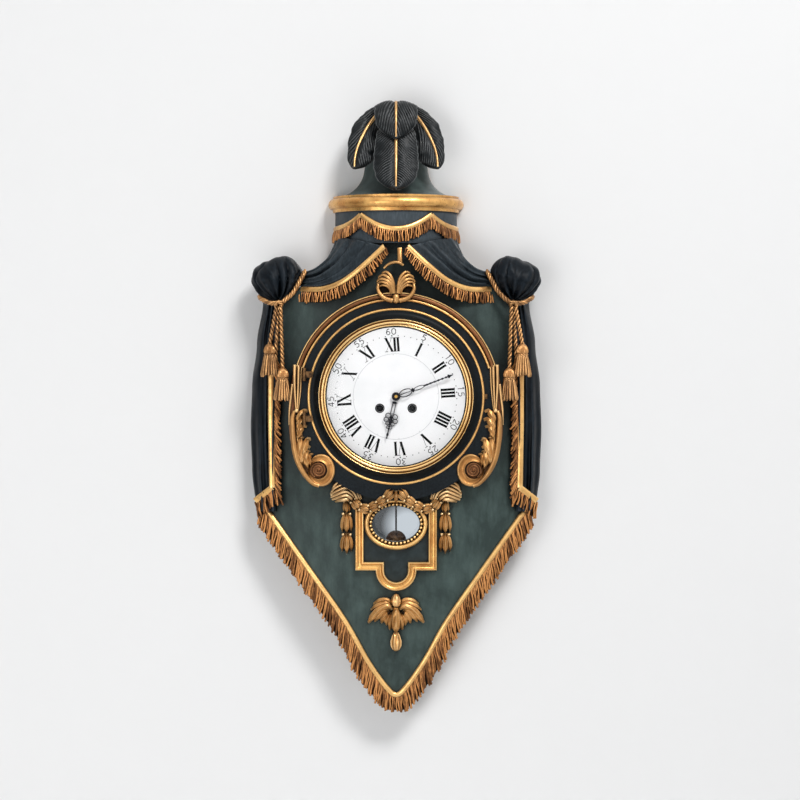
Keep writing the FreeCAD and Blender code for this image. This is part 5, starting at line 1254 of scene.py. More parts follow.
@dataclass
class Knots:
    """Gathered cloth over each drape, tied with a rope that ends in two tassels."""

    half: float = 174.0
    up: float = 171.0
    out: float = 46.0
    outline: Sizes = (35.8, 35.6, 32.6, 29.8, 32.5, 36.4, 36.6, 36.8, 33.7, 31.3, 29.9, 30.0, 30.8,
                      31.0, 31.7, 32.6, 35.8)
    depth: float = 33.0
    rope_radius: float = 3.6
    cord_radius: float = 3.0
    ring: Stops = ((133, 184, 55), (140, 170, 66), (150, 152, 73), (164, 139, 77), (172, 136, 78),
                   (186, 137, 73), (197, 143, 60), (200, 147, 46))
    tie: Place = (171.0, 134.0, 79.0)
    tassel_tops: Stops = ((184, 76, 80), (165, 41, 83))
    tassel_length: float = 47.0
    tassel_radius: float = 12.6
    tassel_head: Section = ((0.5, 1.0), (3.0, 0.8), (5.8, -1.4), (7.8, -4.8), (8.8, -8.4), (8.8, -11.4),
                            (7.6, -14.0), (5.4, -15.0))
    tassel_strands: int = 17
    rows: int = 72
    columns: int = 180

    def cloth(self, seed: float) -> Carving:
        """Right knot: puffed cloth in two lobes, whose folds run into the tie.

        Args:
            seed: Moves the folds.

        Returns:
            The carved cloth.
        """
        carving = Carving()
        middle = Vector((self.half, self.up, self.out))
        pole = Vector((-0.05, -0.9, 0.43)).normalized()
        side = pole.cross(OUT).normalized()
        lift = pole.cross(side)
        rings = []
        for theta in angles(pi, self.rows)[1:-1]:
            deep = 0.3 * min(1.0, theta / 0.3) * max(0.0, 1 - theta / 2.7)
            ring = []
            for phi in circle(self.columns):
                away = side * cos(phi) + lift * sin(phi)
                away = pole * cos(theta) + away * sin(theta)
                flat = hypot(away.x, away.y)
                bearing = atan2(away.y, away.x) / tau % 1.0
                reach = self.depth + (eased(self.outline, bearing) - self.depth) * flat
                turn = phi + 0.2 * sin(2 * phi + seed) + 0.16 * sin(1.7 * theta + 3 * phi + seed)
                main = abs(sin(4.5 * turn + seed)) ** 0.6 - 0.62
                small = 0.16 * sin(13 * phi + 3 * theta + seed)
                ring.append(middle + away * (reach * (1.03 + deep * (main + small))))
            rings.append(ring)
        carving.loft(rings)
        return carving

    def tassel(self, carving: Carving, skirt: Carving, top: Vector, seed: int) -> None:
        """Carve one tassel.

        Args:
            carving: Where head and collar are added.
            skirt: Where the strands of the skirt are added.
            top: Where it hangs from its cord.
            seed: Seed of the strands.
        """
        foot = self.tassel_radius
        long = self.tassel_length
        carving.turned(self.tassel_head, top, UP, 48, flutes=24, depth=0.09)
        collar = [top + Vector((6.6 * cos(a), -15.0, 6.6 * sin(a))) for a in angles(tau, 60)]
        carving.rope(collar, 1.9, 2, 4.0)
        skirt.turned([(4.4, -14.5), (5.0, -18.0), (0.52 * foot, -0.68 * long), (0.64 * foot, -0.93 * long),
                      (0.2, -0.92 * long)], top, UP, 24)
        draw = random.Random(seed)
        for step in range(self.tassel_strands):
            turn = tau * (step + draw.uniform(-0.2, 0.2)) / self.tassel_strands
            aim = Vector((cos(turn), 0.0, sin(turn)))
            wide = foot * draw.uniform(0.9, 0.98)
            low = long * draw.uniform(0.94, 1.02)
            path = [top + aim * r - UP * drop for r, drop in (
                (6.4, 15.5), (7.6, 19.0), (0.74 * wide, 0.56 * low), (0.88 * wide, 0.8 * low), (wide, low))]
            skirt.tube(spline(path, 9), lambda share: 1.2 + 1.1 * share if share < 0.95 else 0.9, 7)

    def cords(self) -> tuple[Carving, Carving]:
        """Rope, tie, cords and tassels of the right side.

        Returns:
            The twisted work with the tassels' heads, and the tassels' skirts.
        """
        rope = Carving()
        skirts = Carving()
        rope.rope(spline(self.ring, 190), self.rope_radius)
        tie = Vector(self.tie)
        for turn, reach in ((0.4, 5.2), (2.4, 5.4), (-0.6, 4.6)):
            wide = Vector((cos(turn), sin(turn), 0.0))
            loop = [tie + wide * (reach * cos(a)) + Vector((-wide.y, wide.x, 0)) * (3.2 * sin(a))
                    + OUT * (2.6 * sin(a + turn) + 1.5) for a in angles(tau, 40)]
            rope.rope(loop, 2.5, 2, 5.0)
        outer, inner = (Vector(spot) for spot in self.tassel_tops)
        lines = [(tie + Vector((3, -3, 1)), outer), (tie + Vector((-3, -3, 1)), inner),
                 (tie + Vector((0, -3, -1)), outer.lerp(inner, 0.45) + Vector((0, -6, -3)))]
        for top, end in lines:
            rope.rope(spline((top, top.lerp(end, 0.5) + OUT * 1.0, end), 150), self.cord_radius, 2, 4.6)
        self.tassel(rope, skirts, outer, 5)
        self.tassel(rope, skirts, inner, 6)
        return rope, skirts

    def build(self) -> None:
        """Carve both knots with their ropes."""
        ropes = Carving()
        skirts = Carving()
        for side in Side:
            cloth = self.cloth(0.35 if side is Side.RIGHT else 1.5)
            rope, skirt = self.cords()
            if side is Side.LEFT:
                cloth, rope, skirt = cloth.mirrored(), rope.mirrored(), skirt.mirrored()
            node = f"{side.name.lower()}_knot"
            cloth.piece(f"{node}_cloth", NAVY_PAINT, stands_for=[node], crease=Crease.CLOTH)
            ropes.join(rope)
            skirts.join(skirt)
        ropes.piece("twisted_ropes", TASSEL_GILDING, stands_for=["ropes"])
        skirts.piece("tassel_skirts", TASSEL_GILDING)


@dataclass
class SideDrapes:
    """Hanging cloth at the sides, with gilt border and fringe along its edge and hem."""

    edge: float = 176.0
    proud: float = 11.0
    top: float = 138.0
    bottom: float = -168.0
    halves: Sizes = (196.0, 205.0, 212.0, 214.0, 212.0, 206.0)
    lifts: Sizes = (0.9, 1.2, 0.8, 1.15, 0.7, 1.0, 0.5)
    band_x: float = 182.5
    band_top: float = 62.0
    corner: Pair = (181.0, -133.0)
    hem_end: Pair = (207.0, -153.0)
    fringe: float = 19.0
    hem_fringe: float = 26.0
    rows: int = 60

    def cloth(self, seed: float) -> Carving:
        """Right drape with upright folds.

        Args:
            seed: Moves the folds.

        Returns:
            The carved cloth.
        """
        carving = Carving()
        rings = []
        for row in range(self.rows + 1):
            share = row / self.rows
            up = self.top + (self.bottom - self.top) * share
            half = eased(self.halves, share)
            reach = half - self.edge
            gather = exp(-share * 9.0)
            front = []
            for index, lift in enumerate(self.lifts):
                x = self.edge - 3 * gather + reach * 0.8 * index / (len(self.lifts) - 1)
                sway = 0.22 * sin(up / 70 + 1.9 * index + seed) * (1 - gather)
                front.append(Vector((x, up, max(4.0, front_out(x, up, self.proud * (lift + sway))))))
            front += [Vector((half - 1.5, up, 33)), Vector((half, up, 19)), Vector((half - 3, up, 0.5))]
            back = [Vector((half - 26, up, 0.5)), Vector((self.edge, up, 20))]
            rings.append(spline(front, 64) + back)
        carving.loft(rings)
        return carving

    def border(self, seed: int) -> Border:
        """Gilt band and fringe of the right drape.

        Args:
            seed: Seed of the strands.

        Returns:
            Band, fringe and the fringe's ground.
        """
        band, fringe, ground = Carving(), Carving(), Carving()
        corner = on_front(*self.corner, 13.0)
        upright = [on_front(self.band_x, self.band_top, 13.0), on_front(self.band_x, -40.0, 13.0), corner]
        upright = even(upright, 40)
        hem = even([corner, on_front(*self.hem_end, 9.0)], 10)
        for line in (upright, hem):
            wides = [along.cross(OUT).normalized() for along, _, _ in rails(line)]
            band.strip(line, wides, [OUT] * len(line), band_section(1.35))
        lift = Vector((0.15, 0.0, 1.0)).normalized()
        side_tops = [spot + Vector((-3.4, 0, -0.5)) for spot in upright]
        hem_tops = even([corner + Vector((-8, 0, 0)), *hem], 20)
        hem_tops = [spot + Vector((0, -1.5, -0.5)) for spot in hem_tops]
        inward, down = Vector((-0.5, -0.87, 0.0)), Vector((-0.22, -0.97, 0.0))
        for strands, tops, aim, length in (
                (Strands(2.3, seed=seed, unrest=0.16), side_tops, inward, self.fringe),
                (Strands(seed=seed + 1, unrest=0.12), hem_tops, down, self.hem_fringe)):
            count = len(tops)
            strands.hang(fringe, ground, tops, [aim] * count, [length] * count, [lift] * count)
        return band, fringe, ground

    def build(self) -> None:
        """Carve both drapes with their borders."""
        cloths = {Side.LEFT: self.cloth(0.9), Side.RIGHT: self.cloth(0.0)}
        hang_pair("drape", DRAPE_PAINT, cloths, {side: self.border(21 + side.value) for side in Side})


@dataclass
class FootTrim:
    """Gilt border and fringe round the shield-shaped foot."""

    half_line: Section = (
        (0.0, -437.5), (15.5, -425.0), (42.0, -387.0), (76.0, -327.0), (128.0, -252.6), (185.0, -172.5),
        (194.0, -160.0))
    width: float = 8.0
    fringe: float = 21.0
    steps: int = 220

    def build(self) -> None:
        """Carve border and fringe."""
        stops = [(-x, up, 0.0) for x, up in reversed(self.half_line[1:])]
        stops += [(x, up, 0.0) for x, up in self.half_line]
        flat = spline(stops, self.steps)
        line = [on_front(spot.x, spot.y, 0.6) for spot in flat]
        wides = [Vector((along.y, -along.x, 0.0)).normalized() for along, _, _ in rails(flat)]
        lifts = [OUT] * len(line)
        band, fringe, ground = Carving(), Carving(), Carving()
        plain_width = FLAT_BAND[-1][0] - FLAT_BAND[0][0]
        band.strip(line, wides, lifts, band_section(self.width / plain_width, 1.7))
        tops = [spot + wide * 3.0 + OUT * 2.2 for spot, wide in zip(line, wides)]
        aims = [(wide * 0.22 - UP).normalized() for wide in wides]
        lengths = [self.fringe / max(0.5, aim.dot(wide)) for aim, wide in zip(aims, wides)]
        strands = Strands(pitch=2.6, radius=1.7, unrest=0.1, seed=31)
        strands.hang(fringe, ground, tops, aims, lengths, lifts)
        # The fringe's ground is painted shade.
        ground.piece("foot_fringe_ground", PAINTED_SHADE)
        band.piece("foot_band", BRIGHT_GILDING)
        fringe.piece("foot_strands", FRINGE_GILDING, stands_for=["edge_fringe"])


# Ribs of the crest's right half: places as x, up and height above the surround, then the radius.
CREST_RIBS = (
    (((2.1, 150, 7), (3.8, 164, 9), (7.5, 174.5, 9.5), (13.4, 180.4, 8), (18.6, 179.8, 6),
      (19.8, 177, 4)), 2.3),
    (((2.8, 150, 7), (5.3, 163, 9.5), (10.7, 171.8, 10), (18.0, 176.2, 8), (23.6, 174.6, 5.5),
      (24.8, 172.4, 4)), 2.5),
    (((4.0, 150, 7), (6.8, 161, 9.5), (12.8, 168.2, 10), (20.3, 170.8, 8), (25.8, 169.0, 5),
      (26.8, 167, 3.5)), 2.4),
    (((5.2, 150, 6), (9.0, 159.8, 9), (16.0, 165.2, 9.5), (22.4, 166.4, 7), (27.0, 164, 4)), 2.1),
    (((6.4, 149, 5), (9.8, 157.4, 8), (16.0, 161.4, 8.5), (22.0, 161.0, 6), (25.4, 158.4, 4)), 1.7),
)
CRESCENT = ((25.6, 163.6, 5), (26.4, 156.5, 6), (22.6, 148.4, 6.5), (15.4, 142.2, 7), (5.0, 139.4, 7))
CREST_RIBBON = ((-17.4, 186.6, 1), (-11.0, 192.2, 2.5), (-2.0, 195.2, 3.5), (5.0, 194.2, 3.5),
                (10.5, 191.0, 2))
# Ribs at the top of the right console, given as those of the crest.
CONSOLE_RIBS = (
    (((147.0, 46, 2.5), (147.2, 15.7, 4), (145.2, -19.9, 3.5)), 2.4),
    (((141.2, 45, 2.5), (142.0, 15.7, 4), (143.6, -19.9, 3.5)), 2.2),
    (((137.4, 43, 1), (138.8, 9.6, 2), (141.9, -19.2, 2.5)), 1.5),
    (((150.4, 18, 1), (153.0, -4.8, 2), (154.8, -21.7, 2), (155.2, -41, 0)), 2.1),
)
# Outer and inner stem of the right console, and the ground under both.
OUTER_STEM = ((147.4, -21, 3), (150.2, -30, 4), (150.2, -45, 4.5), (149, -63, 4.5), (145.9, -82, 4.5),
              (140.5, -99, 4), (131.5, -114.6, 3.5), (121, -126, 2.5), (112, -129.6, 1.5))
INNER_STEM = ((144.6, -27, 3), (143.5, -50.7, 3.5), (141.4, -75, 3.5), (138.0, -96, 3), (130.5, -111, 2))
CONSOLE_GROUND = ((144, 44, -1), (147, 14, -1), (149, -14, 0), (147.5, -40, 0), (143.5, -66, 0),
                  (137, -90, 0), (126, -112, 0))
# Leaves of the right console: root, tip and width.
CONSOLE_LEAVES = (
    ((143.0, -40, 3), (134.6, -20.6, 4), 8.0), ((142.6, -51, 3), (133.8, -32.6, 4.5), 8.0),
    ((141.6, -61, 3), (135.4, -43.4, 4), 7.0), ((138.0, -99, 3), (138.4, -61.6, 4.5), 8.5),
    ((137.4, -98, 3.5), (129.2, -62.8, 4.5), 10.0), ((136.4, -97, 3.5), (130.2, -73.0, 4.0), 8.0),
    ((128.4, -104, 3), (129.4, -80.4, 4.0), 8.0), ((124.0, -100, 3), (124.6, -84.0, 3.0), 5.0),
)
# Section of the volute: share of the way from its edge to the whorl, and height.
VOLUTE_SECTION = ((0.0, -32.0), (0.0, 1.6), (0.05, 3.4), (0.16, 4.0), (0.35, 2.6), (0.6, 2.0), (0.82, 2.8),
                  (0.94, 3.8), (1.0, 3.2), (1.04, -3.0), (1.04, -32.0))


@dataclass
class DialSurround:
    """Gilt arch over the black surround, the crest on it and the consoles beside it."""

    front: float = 90.0
    radius: float = 151.5
    width: float = 12.0
    rim: float = 1.9
    bead: float = 3.8
    arch_start: float = 17.0
    arch_end: float = 163.0
    arch_steps: int = 120
    volute: Pair = (108.5, -107.0)
    volute_half: float = 19.8
    volute_rise: float = 23.6
    whorl: Pair = (112.6, -107.0)
    whorl_radius: float = 12.6
    whorl_turns: float = 2.7

    def raised(self, *stops: Place) -> Ring:
        """Places given by x, up and height above the surround."""
        return [Vector((x, up, self.front + height)) for x, up, height in stops]

    def arch(self) -> None:
        """Carve the arch: a broad band in painted shade, a bright rim outside it and a bead inside, beyond a
        dark quirk.
        """
        outer = self.radius
        inner = outer - self.width
        quirk = inner + self.bead
        edge = outer - self.rim
        half = self.bead / 2
        bead = [(inner + half + half * cos(a), 1.2 + 2.4 * sin(a)) for a in angles(pi, 8)]
        for name, finish, nodes, section in (
                ("arch_band", SHADED_GILDING, ["dial_arch"], (
                    (quirk + 0.4, 0.0), (edge, 0.0), (edge, 3.4), (outer - 3.4, 4.6), (outer - 5.0, 4.8),
                    (outer - 6.6, 4.0), (outer - 7.4, 2.8), (quirk + 0.4, 1.2))),
                ("arch_rim", BRIGHT_GILDING, [], (
                    (edge, 0.0), (outer, 0.0), (outer, 4.2), (outer - 0.5, 5.2), (outer - 1.4, 5.2),
                    (edge, 4.2))),
                ("arch_bead", BRIGHT_GILDING, [], ((inner, 0.0), (quirk, 0.0), *bead))):
            moulding = Carving()
            profile = [(reach, self.front + height) for reach, height in section]
            moulding.hoop(profile, self.arch_start, self.arch_end, self.arch_steps)
            moulding.piece(name, finish, stands_for=nodes, crease=Crease.TURNED)

    def crest(self) -> None:
        """Carve the crest: ribbed leaves that curl round eyes painted dark as shade, a crescent, a knob and a
        ribbon.
        """
        half = Carving()
        for stops, radius in CREST_RIBS:
            rib = spline(self.raised(*stops), 40)
            half.tube(rib, lambda share: radius * (0.6 + 0.45 * sin(pi * min(0.9, 0.1 + 0.85 * share))), 12)
            half.bead(rib[-1], radius * 0.7, 12)
        half.tube(spline(self.raised(*CRESCENT), 36), lambda share: 1.6 + 2.2 * sqrt(share), 12)
        whole = half.paired()
        stem = self.raised((0, 141, 3), (0, 150, 5), (0, 157, 4))
        whole.tube(spline(stem, 30), lambda share: 3.4 - 1.8 * share, 12, 0.9)
        knob = self.raised((0, 135.4, 8))[0]
        whole.turned([(1.2, 0), (4.6, 1.2), (5.0, 4), (4.9, 9), (4.2, 12.2), (1.0, 13.4)], knob, UP, 24)
        whole.tube(spline(self.raised(*CREST_RIBBON), 30), lambda share: 2.2, 10)
        strap = self.raised((5.8, 193.4, 3), (5.7, 203, 2), (5.4, 216, -2))
        whole.tube(spline(strap, 16), lambda share: 3.6, 12, 0.45)
        whole.turned([(1, -30), (9.5, -30), (9.5, 3), (1, 4)], self.raised((0, 152, 0))[0], OUT, 40)
        whole.piece("crest_leaves", VOLUTE_GILDING, stands_for=["crest"], crease=Crease.LEAF)
        # Painted shade: dark discs in the crest's eyes.
        ground = Carving()
        for side in Side:
            middle = self.raised((15.5 * side.value, 155.5, 0))[0]
            ground.turned([(1, -30), (11.5, -30), (11.5, 0.5), (7.0, 1.8), (1, 2.2)], middle, OUT, 32)
        ground.piece("crest_hollows", PAINTED_SHADE)

    def console(self) -> tuple[Carving, Carving]:
        """Right console: the arch's ribs end in a tie, and a long stem with lobed leaves runs into a volute.

        Returns:
            Ribs with leaves, and stem with volute.
        """
        carving = Carving()
        stem = Carving()
        for stops, radius in CONSOLE_RIBS:
            carving.tube(spline(self.raised(*stops), 40), lambda share: radius * (1.0 - 0.5 * share), 10)
        tie = self.raised((144.4, -20.5, 4.5))[0]
        carving.turned([(0.6, -3.0), (2.8, -2.2), (3.4, 0), (2.8, 2.2), (0.6, 3.0)], tie, ACROSS, 16)
        outer = spline(self.raised(*OUTER_STEM), 70)
        stem.tube(outer, lambda share: 1.6 + 2.7 * sin(pi * min(0.9, 0.06 + 0.94 * share)) ** 0.6, 14)
        inner = spline(self.raised(*INNER_STEM), 50)
        stem.tube(inner, lambda share: 1.0 + 0.9 * sin(pi * share), 10)
        for root, tip, width in CONSOLE_LEAVES:
            start, end = self.raised(root, tip)
            bend = start.lerp(end, 0.55) + Vector((1.6, 0.0, 2.2))
            curl = end + Vector((-1.8, 0.4, 1.0))
            widths = (0.5 * width, 1.25 * width, 1.2 * width, 0.6 * width)
            carving.leaf((start, bend, end, curl), widths, rise=2.2, lobes=2, notch=0.1, rib=0.9, thick=10.0)
        rings = []
        for turn in circle(64):
            edge = Vector((self.volute[0] + self.volute_half * cos(turn),
                           self.volute[1] + self.volute_rise * sin(turn), self.front))
            eye = Vector((self.whorl[0] + self.whorl_radius * cos(turn),
                          self.whorl[1] + self.whorl_radius * sin(turn), self.front))
            rings.append([edge.lerp(eye, share) + OUT * height for share, height in VOLUTE_SECTION])
        stem.loft(rings, True)
        return carving, stem

    def scroll(self) -> Carving:
        """Ground of the right console, and the sunk whorl in its volute's eye.

        Returns:
            The carved ground.
        """
        carving = Carving()
        carving.leaf(self.raised(*CONSOLE_GROUND), (8, 10, 13, 16, 19, 18, 12), rise=1.5, rib=0.0, thick=36.0)
        heart = Vector((*self.whorl, self.front))
        bed = [(0.5, -20), (self.whorl_radius, -20), (self.whorl_radius - 0.4, -0.8), (7.0, 0.8), (0.5, 2.0)]
        carving.turned(bed, heart, OUT, 40)
        spiral = []
        for step in range(141):
            share = step / 140
            angle = radians(-60) + tau * self.whorl_turns * share
            reach = 10.6 * (1 - share) + 1.2
            spiral.append(heart + Vector((reach * cos(angle), reach * sin(angle), -0.6 + 2.2 * share)))
        carving.tube(spiral, lambda share: 1.9 - 0.6 * share, 8)
        carving.bead(heart + OUT * 2.2, 2.3, 14)
        return carving

    def build(self) -> None:
        """Carve arch, crest and consoles."""
        self.arch()
        self.crest()
        leaves, stem = self.console()
        # The consoles' grounds and sunk whorls take the dark copy of the gold leaf, which is painted shade.
        for name, right, finish, nodes in (("console_leaves", leaves, CARVED_GILDING, ["consoles"]),
                                           ("console_stems", stem, VOLUTE_GILDING, []),
                                           ("console_grounds", self.scroll(), SHADED_GILDING, [])):
            right.paired().piece(name, finish, stands_for=nodes, crease=Crease.LEAF)


# Length of the steps in which the strands of the garland's cuff are given.
CUFF_STEP = 0.134
# Strands of the cuff, from the outer one inward: steps across and down from its middle.
CUFF_STRANDS = (
    ((-150, 40), (-120, -70), (-20, -125), (90, -80), (150, 30), (165, 75)),
    ((-155, 0), (-110, -45), (-10, -85), (85, -45), (135, 45), (150, 90)),
    ((-160, 30), (-90, -10), (0, -45), (75, -5), (115, 60), (125, 100)),
    ((-160, 60), (-80, 25), (0, 0), (60, 30), (95, 75)),
    ((-145, 85), (-70, 60), (0, 40), (50, 65), (70, 95)),
    ((-110, 105), (-50, 90), (10, 80), (40, 95)),
)
# Sections of the apron's mouldings: inset or offset, and height.
APRON_SECTION = ((0.0, 0.0), (0.0, 7.0), (0.6, 8.0), (1.9, 8.2), (2.7, 7.3), (4.4, 6.0), (6.4, 5.6),
                 (8.2, 6.3), (9.3, 7.6), (10.0, 8.7), (11.5, 8.7), (12.2, 7.6), (12.2, 0.0))
WINDOW_SECTION = ((4.8, 0.0), (4.8, 4.4), (5.4, 6.4), (6.8, 8.2), (8.4, 8.8), (10.0, 8.2), (11.4, 6.2),
                  (12.0, 3.6), (12.0, 0.0))
WINDOW_BED = ((0.4, 0.0), (0.4, 3.8), (1.0, 4.2), (5.2, 4.2), (5.2, 0.0))
# Swag of the garland from the right cuff to the middle: x, up and height above the front.
SWAG_LINE = ((64, -150, 5.0), (52, -161.5, 8.0), (38, -163, 11.0), (19, -151.5, 17.0), (9, -142, 20.0),
             (1.5, -135, 20.0))
# Leaves of the spray's right half: places as x, up and height above the front, then widths.
SPRAY_LEAVES = (
    (((4.7, -303.2, 5), (13.2, -297.4, 7), (22.7, -297.8, 7), (32.2, -302.9, 3)), (5, 7.4, 7.6, 4)),
    (((5.7, -305.4, 6), (15.1, -301.4, 8), (26.5, -305.0, 7.5), (36.0, -311.6, 3)), (5, 8.4, 8.6, 4)),
    (((11.4, -310.5, 7), (18.9, -312.8, 8.5), (26.5, -320.4, 7), (30.6, -328.0, 3)), (6, 9.4, 9.4, 4)),
    (((9.5, -313.3, 7), (15.1, -318.2, 8), (19.2, -324.0, 6.5), (20.8, -330.0, 3)), (5, 8.4, 8.4, 4)),
    (((7.6, -315.2, 6), (11.4, -322.0, 7.5), (13.4, -327.0, 6.5), (13.4, -333.0, 3)), (5, 8, 8, 4)),
    (((5.7, -309.9, 7), (13.2, -305.4, 9.5), (24.6, -311.0, 9), (34.0, -321.2, 6.5), (40.0, -330.0, 3)),
     (6, 9, 10.5, 9.5, 4)),
    (((2.6, -314.0, 7), (7.4, -327.5, 7.5), (8.8, -340.0, 3)), (5, 9, 8, 4)),
)
# Buds above and below the spray: radius and height.
TOP_BUD = ((0.6, 9.8), (3.4, 8.4), (6.6, 4.0), (7.8, -2.0), (6.6, -7.4), (3.4, -10.4), (0.8, -11.4))
LOW_BUD = ((0.5, 2.0), (3.6, 0.4), (6.4, -5.0), (8.8, -12.0), (8.6, -19.0), (5.6, -24.4), (0.8, -27.0))


@dataclass
class Apron:
    """Moulding round the window field, beaded window ring, garland and leaf spray."""

    half: float = 59.5
    top: float = -158.0
    bottom: float = -253.6
    tongue: float = 29.7
    width: float = 12.2
    field_proud: float = 2.0
    field_floor: float = 0.2
    window_up: float = -185.6
    window_half: float = 34.5
    window_rise: float = 26.0
    window_beads: int = 37
    cuff: Pair = (73.0, -138.0)
    drop_end: float = -229.0

    def outline(self, inset: float) -> Ring:
        """Right half of the apron's outline from its top to the axis, moved inward.

        Args:
            inset: Distance inward.

        Returns:
            Places on the bowed front.
        """
        arm = self.half - inset
        low = self.bottom + inset
        bulb = self.tongue - inset
        flat = [Vector((arm, self.top - 2, 0)), Vector((arm, low, 0)), Vector((bulb, low, 0))]
        spots = even(flat[:2], 24)[:-1] + even(flat[1:], 8)[:-1]
        if inset > 0:
            spots += even([flat[2], Vector((bulb, self.bottom, 0))], 3)[:-1]
        else:
            spots += [flat[2]] * 3
        for step in range(17):
            turn = -pi / 2 * step / 16
            spots.append(Vector((bulb * cos(turn), self.bottom + bulb * sin(turn), 0)))
        return spots

    def moulding(self) -> None:
        """Carve the apron moulding and its field."""
        carving = Carving()
        outlines = [(self.outline(inset), height) for inset, height in APRON_SECTION]
        right = [[on_front(line[index].x, line[index].y, height) for line, height in outlines]
                 for index in range(len(outlines[0][0]))]
        left = [[Vector((-s.x, s.y, s.z)) for s in ring] for ring in reversed(right[:-1])]
        carving.loft(right + left)
        carving.piece("apron_moulding", BRIGHT_GILDING, crease=Crease.MOULDED)
        rim = self.outline(self.width - 1.0)
        loop = rim + [Vector((-s.x, s.y, 0)) for s in reversed(rim[:-1])]
        loop += even([loop[-1], loop[0]], 16)[1:-1]
        edge = [on_front(s.x, s.y, self.field_proud) for s in loop]
        opening = []
        for spot in loop:
            turn = atan2((spot.y - self.window_up) / self.window_rise, spot.x / self.window_half)
            opening.append(on_front(self.window_half * cos(turn),
                                    self.window_up + self.window_rise * sin(turn), self.field_proud))
        rings = [[on_front(s.x, s.y, self.field_floor) for s in loop], edge]
        for share in (0.25, 0.5, 0.75, 1.0):
            between = [a.lerp(b, share) for a, b in zip(edge, opening)]
            rings.append([on_front(s.x, s.y, self.field_proud) for s in between])
        rings.append([on_front(s.x, s.y, self.field_floor) for s in opening])
        sheet = Carving()
        sheet.loft(rings, True)
        sheet.piece("apron_field", FIELD_PAINT, stands_for=["apron"], crease=Crease.MOULDED)

    def oval(self, offset: float, count: int) -> Ring:
        """Share out a flat oval round the window.

        Args:
            offset: Distance outside the window's edge.
            count: Number of places.

        Returns:
            Even places round it.
        """
        half, rise = self.window_half + offset, self.window_rise + offset
        line = [Vector((half * cos(a), self.window_up + rise * sin(a), 0)) for a in angles(tau, 360)]
        return even(line, count)[:-1]

    def window(self) -> None:
        """Carve the window ring, its bed painted dark as shade, and the row of beads on it."""
        steps = 120
        for name, finish, nodes, section in (
                ("window_moulding", BRIGHT_GILDING, ["window_ring"], WINDOW_SECTION),
                # The bed under the beads is painted dark as shade.
                ("window_bed", PAINTED_SHADE, [], WINDOW_BED)):
            ring = Carving()
            loops = [(self.oval(offset, steps), self.field_proud + height) for offset, height in section]
            ring.loft([[on_front(loop[step].x, loop[step].y, proud) for loop, proud in loops]
                       for step in range(steps)], True)
            ring.piece(name, finish, stands_for=nodes, crease=Crease.MOULDED)
        beads = Carving()
        for spot in self.oval(2.6, self.window_beads):
            beads.bead(on_front(spot.x, spot.y, self.field_proud + 5.0), 2.3, 12)
        beads.piece("window_beads", BRIGHT_GILDING)

    def sprig(self, carving: Carving, root: Vector, along: Vector, reach: float, spread: float,
              width: float) -> None:
        """Three laurel leaves with two berries.

        Args:
            carving: Where they are added.
            root: Where their stalks meet.
            along: Direction of the middle leaf.
            reach: Length of the leaves.
            spread: How far the outer tips stand off the middle.
            width: Width of each leaf.
        """
        wide = along.cross(OUT).normalized()
        widths = (0.4 * width, width, 0.95 * width, 0.12 * width)
        for turn in (-1.0, 1.0, 0.0):
            off = abs(turn)
            tip = root + along * (reach * (1.0 - 0.1 * off)) + wide * (spread * turn) - OUT * (1.2 * off)
            belly = root.lerp(tip, 0.5) + wide * (0.34 * spread * turn) + OUT * (1.6 + 1.6 * (turn == 0.0))
            carving.leaf((root + wide * (1.4 * turn), belly, tip), widths, rise=1.9, rib=1.0, thick=4.0)
        for turn in (-1.0, 1.0):
            carving.bead(root + along * 2.0 + wide * ((1.6 + 0.55 * spread) * turn) + OUT * 1.2, 2.2, 12)

    def garland(self) -> None:
        """Carve cuffs, laurel drops and the swag between them."""
        half = Carving()
        x, up = self.cuff
        for row, strand in enumerate(CUFF_STRANDS):
            stops = []
            for index, (across, down) in enumerate(strand):
                bulge = sin(pi * (0.1 + 0.8 * index / (len(strand) - 1)))
                stops.append(on_front(x - across * CUFF_STEP, up - 0.7 - down * CUFF_STEP,
                                      3.0 + (5.0 + 2.2 * row) * bulge))
            half.tube(spline(stops, 40), lambda share: 1.4 + 1.3 * sin(pi * (0.08 + 0.84 * share)), 10)
        bed = [on_front(x + 20, up - 6, 2), on_front(x, up + 2, 8), on_front(x - 20, up - 6, 2)]
        half.tube(spline(bed, 20), lambda share: 5.5, 10)
        for top, end, spread, width in ((up - 12.5, up - 34, 3.4, 5.6), (up - 31, up - 63.5, 6.4, 7.4),
                                        (up - 61, self.drop_end - 0.6, 6.8, 7.8)):
            root = on_front(x - 1.0, top, 6.0)
            along = (on_front(x - 1.0, end, 5.0) - root).normalized()
            self.sprig(half, root, along, top - end, spread, width)
        path = spline([on_front(*spot) for spot in SWAG_LINE], 60)
        # Painted shade: a dark tube under the swag's leaves, seen in the gaps between them.
        hollow = Carving()
        hollow.tube([spot - OUT * 5.8 for spot in path[:50]], lambda share: 7.0 - 1.6 * share, 12)
        hollow.paired().piece("garland_hollows", PAINTED_SHADE)
        frames = rails(path)
        for spot in range(0, 55, 11):
            along, _, _ = frames[spot + 5]
            self.sprig(half, path[spot] + OUT * 2.2, along, 20.0, 4.6, 7.2)
        both = half.paired()
        middle = [on_front(0, -137, 23), on_front(0, -145, 22), on_front(0, -154, 16)]
        both.leaf(middle, (5, 8, 6.5, 1.5), rise=2.0, thick=4.0)
        both.piece("laurel_garland", GARLAND_GILDING, stands_for=["garland"], crease=Crease.LEAF)

    def spray(self) -> None:
        """Carve the leaf spray: two lobed wings, a centre leaf and two buds."""
        half = Carving()
        for stops, widths in SPRAY_LEAVES:
            half.leaf([on_front(*stop) for stop in stops], widths, rise=2.2, rib=1.0, thick=7.0)
